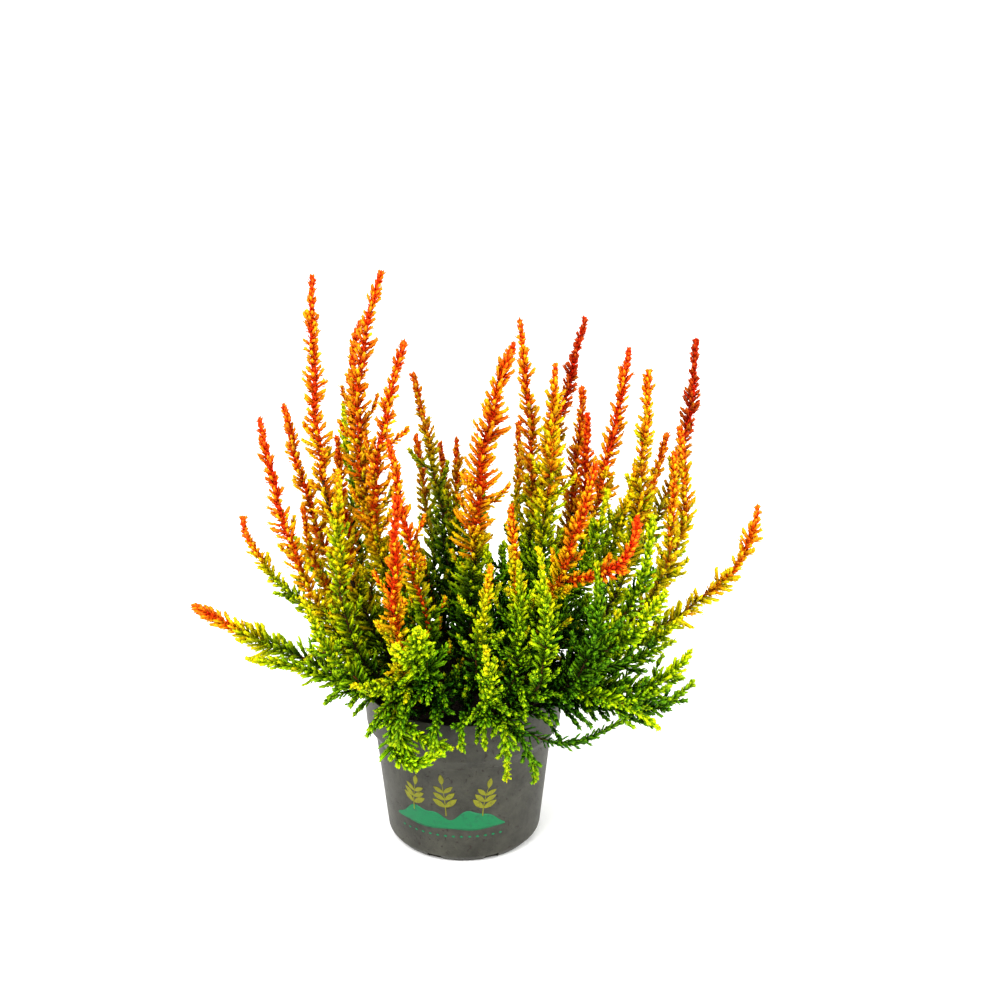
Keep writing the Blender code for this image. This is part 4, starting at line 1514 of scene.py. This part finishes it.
@dataclass
class NurseryPot:
    """The moulded pot, turned, with drain slots through the corner of its base.

    edge_radius rounds its edges, step_radius the corners of its wall, and edges sharper than
    crease stay sharp.
    """

    shape: PotShape
    plastic: RecycledPolypropylene = RecycledPolypropylene()
    sides: int = 192
    slots: int = 8
    slot_width: float = 9 * MM
    slot_inner_radius: float = 41.2 * MM
    slot_depth: float = 8 * MM
    slot_top: float = 4.2 * MM
    edge_radius: float = 0.5 * MM
    step_radius: float = 1.6 * MM
    corner_steps: int = 4
    crease: float = math.radians(34)

    def rounded(self, outline: list[tuple[float, float]],
                radii: list[float]) -> list[tuple[float, float]]:
        """Round the corners of an outline.

        Args:
            outline: Points as (radius, height).
            radii: How far from each corner its curve starts, 0 for none.

        Returns:
            The outline with short curves for corners.
        """
        places = np.array(outline)
        made = []
        for spot, reach in enumerate(radii):
            corner = places[spot]
            if reach == 0.0:
                made.append(tuple(corner))
                continue
            before = corner + unit(places[spot - 1] - corner) * reach
            after = corner + unit(places[spot + 1] - corner) * reach
            for step in range(self.corner_steps + 1):
                share = step / self.corner_steps
                made.append(tuple(before * (1 - share)**2 + corner * 2 * share * (1 - share)
                                  + after * share**2))
        return made

    def outline(self) -> list[tuple[float, float]]:
        """Draw the section, from the middle of the base out, up, over the rim and back.

        Returns:
            Points as (radius, height).
        """
        outline = [(0.0, 0.0), *self.shape.outer(), *reversed(self.shape.inner()),
                   (0.0, self.shape.floor)]
        edge = self.edge_radius
        step = self.step_radius
        return self.rounded(outline, [0.0, edge, step, step, step / 2, edge,
                                      edge, step / 2, step, step, edge, 0.0])

    def build(self) -> MeshObject:
        """Turn the pot and cut its slots.

        Returns:
            The piece that stands for the pot's solid.
        """
        outline = self.outline()
        turn = math.tau * np.arange(self.sides) / self.sides
        rings = np.array(outline[1:-1])
        points = np.stack((rings[:, :1] * np.cos(turn), rings[:, :1] * np.sin(turn),
                           np.repeat(rings[:, 1:], self.sides, axis=1)), axis=-1).reshape(-1, 3)
        points = np.concatenate((points, [(0, 0, outline[0][1]), (0, 0, outline[-1][1])]))
        low_pole = len(points) - 2
        high_pole = len(points) - 1
        last = (len(rings) - 1) * self.sides
        faces = []
        for side in range(self.sides):
            beside = (side + 1) % self.sides
            faces.append((low_pole, beside, side))
            faces.append((last + side, last + beside, high_pole))
            for low in range(0, last, self.sides):
                faces.append((low + side, low + beside, low + self.sides + beside,
                              low + self.sides + side))
        mesh = bpy.data.meshes.new("pot_body")
        mesh.from_pydata(points.tolist(), [], faces)
        pot = placed("pot_body", mesh)
        self.cut_slots(pot)
        pot.data.materials.clear()
        pot.data.materials.append(self.plastic.material())
        pot.data.shade_smooth()
        pot.data.set_sharp_from_angle(angle=self.crease)
        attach(pot, "root")
        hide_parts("pot")
        LOG.info("%s: %d faces", pot.name, len(pot.data.polygons))
        return pot

    def cut_slots(self, pot: MeshObject) -> None:
        """Cut the drain slots with boxes.

        Args:
            pot: The turned pot.
        """
        cutters = bpy.data.collections.new("slot_cutters")
        bpy.context.scene.collection.children.link(cutters)
        faces = [(3, 2, 1, 0), (4, 5, 6, 7), (0, 1, 5, 4), (1, 2, 6, 5), (2, 3, 7, 6),
                 (3, 0, 4, 7)]
        for slot in range(self.slots):
            turn = math.tau * (slot + 0.5) / self.slots
            out = np.array((math.cos(turn), math.sin(turn), 0.0))
            side = np.array((-math.sin(turn), math.cos(turn), 0.0)) * self.slot_width / 2
            near = out * self.slot_inner_radius
            far = out * (self.slot_inner_radius + self.slot_depth)
            corners = [place + side * sign + np.array((0.0, 0.0, height))
                       for height in (-self.slot_top, self.slot_top)
                       for place, sign in ((near, -1), (far, -1), (far, 1), (near, 1))]
            mesh = bpy.data.meshes.new("slot")
            mesh.from_pydata([tuple(corner) for corner in corners], [], faces)
            cutters.objects.link(bpy.data.objects.new("slot", mesh))
        cut = pot.modifiers.new("slots", "BOOLEAN")
        cut.operation = "DIFFERENCE"
        cut.operand_type = "COLLECTION"
        cut.collection = cutters
        bpy.context.view_layer.update()
        seen = pot.evaluated_get(bpy.context.evaluated_depsgraph_get())
        finished = bpy.data.meshes.new_from_object(seen)
        pot.modifiers.remove(cut)
        pot.data = finished
        for cutter in list(cutters.objects):
            bpy.data.objects.remove(cutter, do_unlink=True)
        bpy.data.collections.remove(cutters)


@dataclass
class MeadowPrint:
    """A printed band of low green hills, with olive sprigs that grow from it and dots below it.

    Places on the wall are (across, height) in millimetres, with across measured round the wall
    from the middle of the front. A wave is its height, the distance over which it turns by one
    radian, and its phase. A sprig is its place across, its height and its tilt.
    """

    shape: PotShape
    green: PadPrintInk = PadPrintInk("green", "#046a42", "#16523c")
    olive: PadPrintInk = PadPrintInk("olive", "#74740c", "#5c5a18")
    green_slot: int = 0
    olive_slot: int = 1
    wall_radius_mm: float = 50.0
    lift: float = 0.07 * MM
    layer_lift: float = 0.5
    sunk: float = 0.12 * MM
    left_mm: float = -46.0
    right_mm: float = 27.0
    foot_mm: float = 26.0
    end_mm: float = 0.3
    crest_mm: float = 10.5
    crest_waves: tuple[tuple[float, float, float], ...] = ((3.6, 6.1, 0.0), (1.6, 2.7, 1.0))
    sag_mm: float = 1.2
    sag_waves: tuple[tuple[float, float, float], ...] = ((0.6, 5.0, 0.0),)
    hill_columns: int = 90
    hill_rows: int = 7
    leaf_rows: int = 9
    leaf_blunting: float = 0.02
    leaf_fullness: float = 0.8
    sprigs: tuple[tuple[float, float, float], ...] = ((-31.0, 19.0, 0.12), (-10.0, 23.0, -0.08),
                                                      (12.0, 20.0, 0.16))
    sprig_lift_mm: float = 8.5
    stalk_rows: int = 12
    stalk_half_mm: float = 0.35
    stalk_taper: float = 0.5
    pair_shares: tuple[float, ...] = (0.28, 0.5, 0.72)
    pair_turn: float = math.radians(52)
    pair_mm: float = 9.0
    pair_foot: float = 1.15
    pair_taper: float = 0.5
    pair_width: float = 0.42
    top_share: float = 0.97
    top_leaf_mm: tuple[float, float] = (7.0, 3.2)
    dots: int = 14
    dot_inset_mm: float = 4.0
    dot_drop_mm: float = 6.0
    dot_mm: tuple[float, float] = (2.2, 1.5)

    def on_wall(self, across_mm: np.ndarray, height_mm: np.ndarray, lift: float) -> np.ndarray:
        """Find places on the pot's wall.

        Args:
            across_mm: Their distances round the wall.
            height_mm: Their heights.
            lift: How far they stand off the wall.

        Returns:
            The places in metres.
        """
        turn = -math.pi / 2 + across_mm / self.wall_radius_mm
        radius = self.shape.radius(self.shape.outer(), height_mm * MM) + lift
        return np.stack((radius * np.cos(turn), radius * np.sin(turn), height_mm * MM), axis=-1)

    def film(self, batch: Batch, grid: np.ndarray, slot: int, layer: int = 0) -> None:
        """Add a thin film of ink over a grid of (across, height) places.

        Args:
            batch: Batch that gets it.
            grid: Places as rows of columns, turning left as seen from outside.
            slot: Material slot of its ink.
            layer: How many films it lies on.
        """
        rows, columns = grid.shape[:2]
        lift = self.lift * (1 + self.layer_lift * layer)
        outer = self.on_wall(grid[..., 0], grid[..., 1], lift)
        inner = self.on_wall(grid[..., 0], grid[..., 1], -self.sunk)
        points = np.concatenate((outer.reshape(-1, 3), inner.reshape(-1, 3)))
        below = rows * columns
        index = np.arange(below).reshape(rows, columns)
        low, right = index[:-1, :-1].ravel(), index[:-1, 1:].ravel()
        high, far = index[1:, :-1].ravel(), index[1:, 1:].ravel()
        top = np.concatenate((np.stack((low, right, far), 1), np.stack((low, far, high), 1)))
        under = top[:, ::-1] + below
        edge = np.concatenate((index[0], index[1:, -1], index[-1, -2::-1], index[-2:0:-1, 0]))
        following = np.roll(edge, -1)
        sides = np.concatenate((np.stack((following, edge, edge + below), 1),
                                np.stack((following, edge + below, following + below), 1)))
        batch.add(points, np.concatenate((top, under, sides)), slot)

    @staticmethod
    def rolling(across: np.ndarray, level: float, waves: tuple) -> np.ndarray:
        """Draw a level line with waves on it.

        Args:
            across: Places along it.
            level: Its height without waves.
            waves: The waves on it.

        Returns:
            Its heights.
        """
        line = np.full_like(across, level)
        for height, step, phase in waves:
            line = line + height * np.sin(across / step + phase)
        return line

    def hills(self, batch: Batch) -> None:
        """Add the band of hills, whose crest rolls and whose ends run out thin.

        Args:
            batch: Batch that gets it.
        """
        across = np.linspace(self.left_mm, self.right_mm, self.hill_columns)
        share = (across - self.left_mm) / (self.right_mm - self.left_mm)
        ends = np.sqrt(np.clip(np.sin(np.pi * share), 0.0, 1.0))
        crest = self.foot_mm + self.end_mm + ends * self.rolling(across, self.crest_mm,
                                                                 self.crest_waves)
        foot = self.foot_mm - ends * self.rolling(across, self.sag_mm, self.sag_waves)
        rise = np.linspace(0.0, 1.0, self.hill_rows)[:, None]
        height = foot * (1 - rise) + crest * rise
        grid = np.stack((np.broadcast_to(across, height.shape), height), axis=-1)
        self.film(batch, grid, self.green_slot)

    def leaf(self, batch: Batch, foot: tuple[float, float], turn: float,
             size: tuple[float, float], slot: int) -> None:
        """Add a pointed leaf.

        Args:
            batch: Batch that gets it.
            foot: Place of its foot.
            turn: Its angle from upright.
            size: Its length and width in millimetres.
            slot: Material slot of its ink.
        """
        length, width = size
        share = np.linspace(0.0, 1.0, self.leaf_rows)[:, None]
        blunt = np.clip(share, self.leaf_blunting, 1 - self.leaf_blunting)
        half = width / 2 * np.sin(np.pi * blunt) ** self.leaf_fullness
        side = np.array((-1.0, -0.5, 0.0, 0.5, 1.0))[None] * half
        along = share * length + 0 * side
        across = foot[0] + along * math.sin(turn) + side * math.cos(turn)
        height = foot[1] + along * math.cos(turn) - side * math.sin(turn)
        self.film(batch, np.stack((across, height), axis=-1), slot, 1)

    def sprig(self, batch: Batch, across: float, tall: float, tilt: float) -> None:
        """Add a sprig: a thin stalk with pairs of leaves and one at its tip.

        Args:
            batch: Batch that gets it.
            across: Its place round the wall.
            tall: Its height.
            tilt: How far its tip leans, as a share of its height.
        """
        height = self.foot_mm + self.sprig_lift_mm
        share = np.linspace(0.0, 1.0, self.stalk_rows)[:, None]
        middle = across + tilt * share**2 * tall
        half = self.stalk_half_mm * (1 - self.stalk_taper * share)
        side = np.array((-1.0, 1.0))[None] * half
        grid = np.stack((middle + side, height + share * tall + 0 * side), axis=-1)
        self.film(batch, grid, self.olive_slot, 1)
        for step in self.pair_shares:
            foot = (across + tilt * step**2 * tall, height + step * tall)
            length = self.pair_mm * (self.pair_foot - self.pair_taper * step)
            for turn in (-self.pair_turn, self.pair_turn):
                self.leaf(batch, foot, turn + tilt, (length, length * self.pair_width),
                          self.olive_slot)
        top = (across + tilt * tall, height + tall * self.top_share)
        self.leaf(batch, top, tilt, self.top_leaf_mm, self.olive_slot)

    def build(self) -> MeshObject:
        """Print the band, the sprigs and a row of dots.

        Returns:
            The print, one piece on the pot.
        """
        batch = Batch()
        self.hills(batch)
        for across, tall, tilt in self.sprigs:
            self.sprig(batch, across, tall, tilt)
        height = self.foot_mm - self.dot_drop_mm
        for across in np.linspace(self.left_mm + self.dot_inset_mm,
                                  self.right_mm - self.dot_inset_mm, self.dots):
            self.leaf(batch, (across, height), math.radians(90), self.dot_mm, self.green_slot)
        inks = [self.green.material(), self.olive.material()]
        piece = batch.piece("pot_print", inks, "ink_tone")
        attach(piece, "root")
        LOG.info("%s: %d triangles", piece.name, len(piece.data.polygons))
        return piece


@dataclass
class PeatSoil:
    """The peat: a lumpy body that fills the pot, with loose crumbs on its top."""

    shape: PotShape
    peat: LoosePeat = LoosePeat()
    gap: float = 0.4 * MM
    lump: float = 0.66 * MM
    rings: int = 30
    sides: int = 96
    crumbs: int = 700
    crumb_size: float = 1.3 * MM
    crumb_size_spread: float = 0.4
    crumb_corners: tuple[float, float] = (0.5, 1.2)
    crumb_flatness: float = 0.7
    crumb_inset: float = 2 * MM

    def height(self, across: np.ndarray, deep: np.ndarray) -> np.ndarray:
        """Find the height of the peat's top, whose lumps are about 30, 10 and 4 mm long.

        Args:
            across: Places along X.
            deep: Places along Y.

        Returns:
            Heights at those places.
        """
        x = across / MM
        y = deep / MM
        # Inside the sines the numbers are radians a millimetre. Before them they are heights.
        waves = np.sin(0.21 * x + 1.3) * np.cos(0.17 * y) + 0.6 * np.sin(0.33 * y - 0.25 * x)
        fine = 0.5 * np.sin(0.9 * x + 0.4 * y) * np.sin(0.8 * y - 0.5 * x)
        finer = 0.3 * np.sin(2.1 * x - 1.2 * y + 1.0) * np.sin(1.9 * y + 0.9 * x)
        return self.shape.soil_top + self.lump * (waves + fine + finer)

    def build(self) -> MeshObject:
        """Shape the peat and scatter its crumbs.

        Returns:
            The piece that stands for the soil's solid.
        """
        batch = Batch()
        edge = float(self.shape.radius(self.shape.inner(), self.shape.soil_top)) - self.gap
        turn = math.tau * np.arange(self.sides) / self.sides
        reach = edge * np.linspace(0.0, 1.0, self.rings + 1)[1:]
        across = reach[:, None] * np.cos(turn)
        deep = reach[:, None] * np.sin(turn)
        top = np.stack((across, deep, self.height(across, deep)), axis=-1)
        wall = [(float(radius) - self.gap, float(height) + (self.gap if place == 0 else 0.0))
                for place, (radius, height) in enumerate(self.shape.inner()[:-1])]
        side = np.array([[(radius * math.cos(a), radius * math.sin(a), height) for a in turn]
                         for radius, height in reversed(wall)])
        poles = [(0.0, 0.0, float(self.height(np.array(0.0), np.array(0.0)))),
                 (0.0, 0.0, self.shape.floor + self.gap)]
        points = np.concatenate((top.reshape(-1, 3), side.reshape(-1, 3), poles))
        high_pole = len(points) - 2
        low_pole = len(points) - 1
        last = high_pole - self.sides
        low = np.arange(last)
        beside = next_round(low, self.sides)
        ring = np.arange(self.sides)
        after = next_round(ring, self.sides)
        faces = [np.stack((low, low + self.sides, beside + self.sides), 1),
                 np.stack((low, beside + self.sides, beside), 1),
                 np.stack((np.full(self.sides, high_pole), ring, after), 1),
                 np.stack((last + after, last + ring, np.full(self.sides, low_pole)), 1)]
        batch.add(points, np.concatenate(faces))
        self.scatter(batch, edge)
        piece = batch.piece("soil_peat_body", [self.peat.material()], "soil_tone")
        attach(piece, "root")
        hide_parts("soil")
        LOG.info("%s: %d triangles", piece.name, len(piece.data.polygons))
        return piece

    def scatter(self, batch: Batch, edge: float) -> None:
        """Add loose crumbs: squashed eight-sided lumps, half sunk in the top.

        Args:
            batch: Batch that gets them.
            edge: Radius of the top.
        """
        rng = np.random.default_rng(SEED + 1)
        corners = np.array([(1, 0, 0), (-1, 0, 0), (0, 1, 0), (0, -1, 0), (0, 0, 1), (0, 0, -1)])
        faces = np.array([(0, 2, 4), (2, 1, 4), (1, 3, 4), (3, 0, 4), (2, 0, 5), (1, 2, 5),
                          (3, 1, 5), (0, 3, 5)])
        reach = (edge - self.crumb_inset) * np.sqrt(rng.uniform(0, 1, self.crumbs))
        turn = rng.uniform(0, math.tau, self.crumbs)
        across = reach * np.cos(turn)
        deep = reach * np.sin(turn)
        size = self.crumb_size * rng.lognormal(0.0, self.crumb_size_spread, (self.crumbs, 1, 1))
        stretch = rng.uniform(*self.crumb_corners, (self.crumbs, len(corners), 1))
        x, y, z = np.moveaxis(corners[None] * stretch * size, -1, 0)
        spin = rng.uniform(0, math.tau, self.crumbs)[:, None]
        turned = np.stack((x * np.cos(spin) - y * np.sin(spin),
                           x * np.sin(spin) + y * np.cos(spin),
                           z * self.crumb_flatness), axis=-1)
        middle = np.stack((across, deep, self.height(across, deep)), axis=-1)
        points = (turned + middle[:, None]).reshape(-1, 3)
        stack = faces[None] + len(corners) * np.arange(self.crumbs)[:, None, None]
        batch.add(points, stack.reshape(-1, 3))


@dataclass(frozen=True)
class Softbox:
    """A square soft light that faces the plant, with its place and size in metres."""

    name: str
    place: tuple[float, float, float]
    size: float
    watts: float


@dataclass
class Studio:
    """A pale floor, soft light and the photograph's camera."""

    camera_place: tuple[float, float, float] = (0.02196, -1.08723, 0.66643)
    camera_tilt: float = math.radians(67.5)
    lens: float = 73.4
    floor_size: float = 24.0
    floor_tone: str = "#f2f2f1"
    sky_tone: str = "#ffffff"
    sky_strength: float = 1.0
    softboxes: tuple[Softbox, ...] = (Softbox("key_softbox", (-0.9, -1.3, 1.7), 1.2, 34.0),
                                      Softbox("fill_softbox", (1.3, -0.9, 1.0), 1.0, 15.0))
    aim_height: float = 0.18

    def build(self) -> None:
        """Set up the floor, the lights and the camera."""
        scene = bpy.context.scene
        scene.view_settings.view_transform = "Standard"
        scene.view_settings.look = "High Contrast"
        self.add_floor()
        world = bpy.data.worlds.new("soft_sky")
        scene.world = world
        world.use_nodes = True
        sky = world.node_tree.nodes["Background"]
        sky.inputs["Color"].default_value = (*linear(self.sky_tone), 1.0)
        sky.inputs["Strength"].default_value = self.sky_strength
        for softbox in self.softboxes:
            self.hang(softbox)
        data = bpy.data.cameras.new("camera")
        data.lens = self.lens
        camera = placed("camera", data)
        camera.location = self.camera_place
        camera.rotation_euler = (self.camera_tilt, 0.0, 0.0)
        scene.camera = camera

    def add_floor(self) -> None:
        """Lay the floor: pale painted board with a faint unevenness."""
        half = self.floor_size / 2
        mesh = bpy.data.meshes.new("floor")
        mesh.from_pydata([(-half, -half, 0), (half, -half, 0), (half, half, 0), (-half, half, 0)],
                         [], [(0, 1, 2, 3)])
        floor = placed("floor", mesh)
        material, tree, shader = blank_material("floor_painted_board")
        place = add_node(tree, "TexCoord").outputs["Object"]
        cloud = add_node(tree, "TexNoise", {"Vector": place, "Scale": 8.0})
        level = add_node(tree, "MapRange", {"Value": cloud.outputs["Fac"], "To Min": 0.6,
                                            "To Max": 0.68})
        tree.links.new(level.outputs["Result"], shader.inputs["Roughness"])
        shader.inputs["Base Color"].default_value = (*linear(self.floor_tone), 1.0)
        mesh.materials.append(material)

    def hang(self, softbox: Softbox) -> None:
        """Hang a softbox so that it faces the plant.

        Args:
            softbox: The light.
        """
        data = bpy.data.lights.new(softbox.name, "AREA")
        data.shape = "SQUARE"
        data.size = softbox.size
        data.energy = softbox.watts
        light = placed(softbox.name, data)
        light.location = softbox.place
        aim = light.location.copy()
        aim.z -= self.aim_height
        light.rotation_euler = aim.to_track_quat("Z", "Y").to_euler()


def main() -> None:
    """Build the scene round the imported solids."""
    logging.basicConfig(level=logging.INFO, format="%(name)s %(message)s")
    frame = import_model()
    LOG.info("frame holds %d nodes", len(frame["nodes"]))
    shape = PotShape()
    Studio().build()
    NurseryPot(shape).build()
    MeadowPrint(shape).build()
    PeatSoil(shape).build()
    LeafyStems(shape).build()


if __name__ == "__main__":
    main()
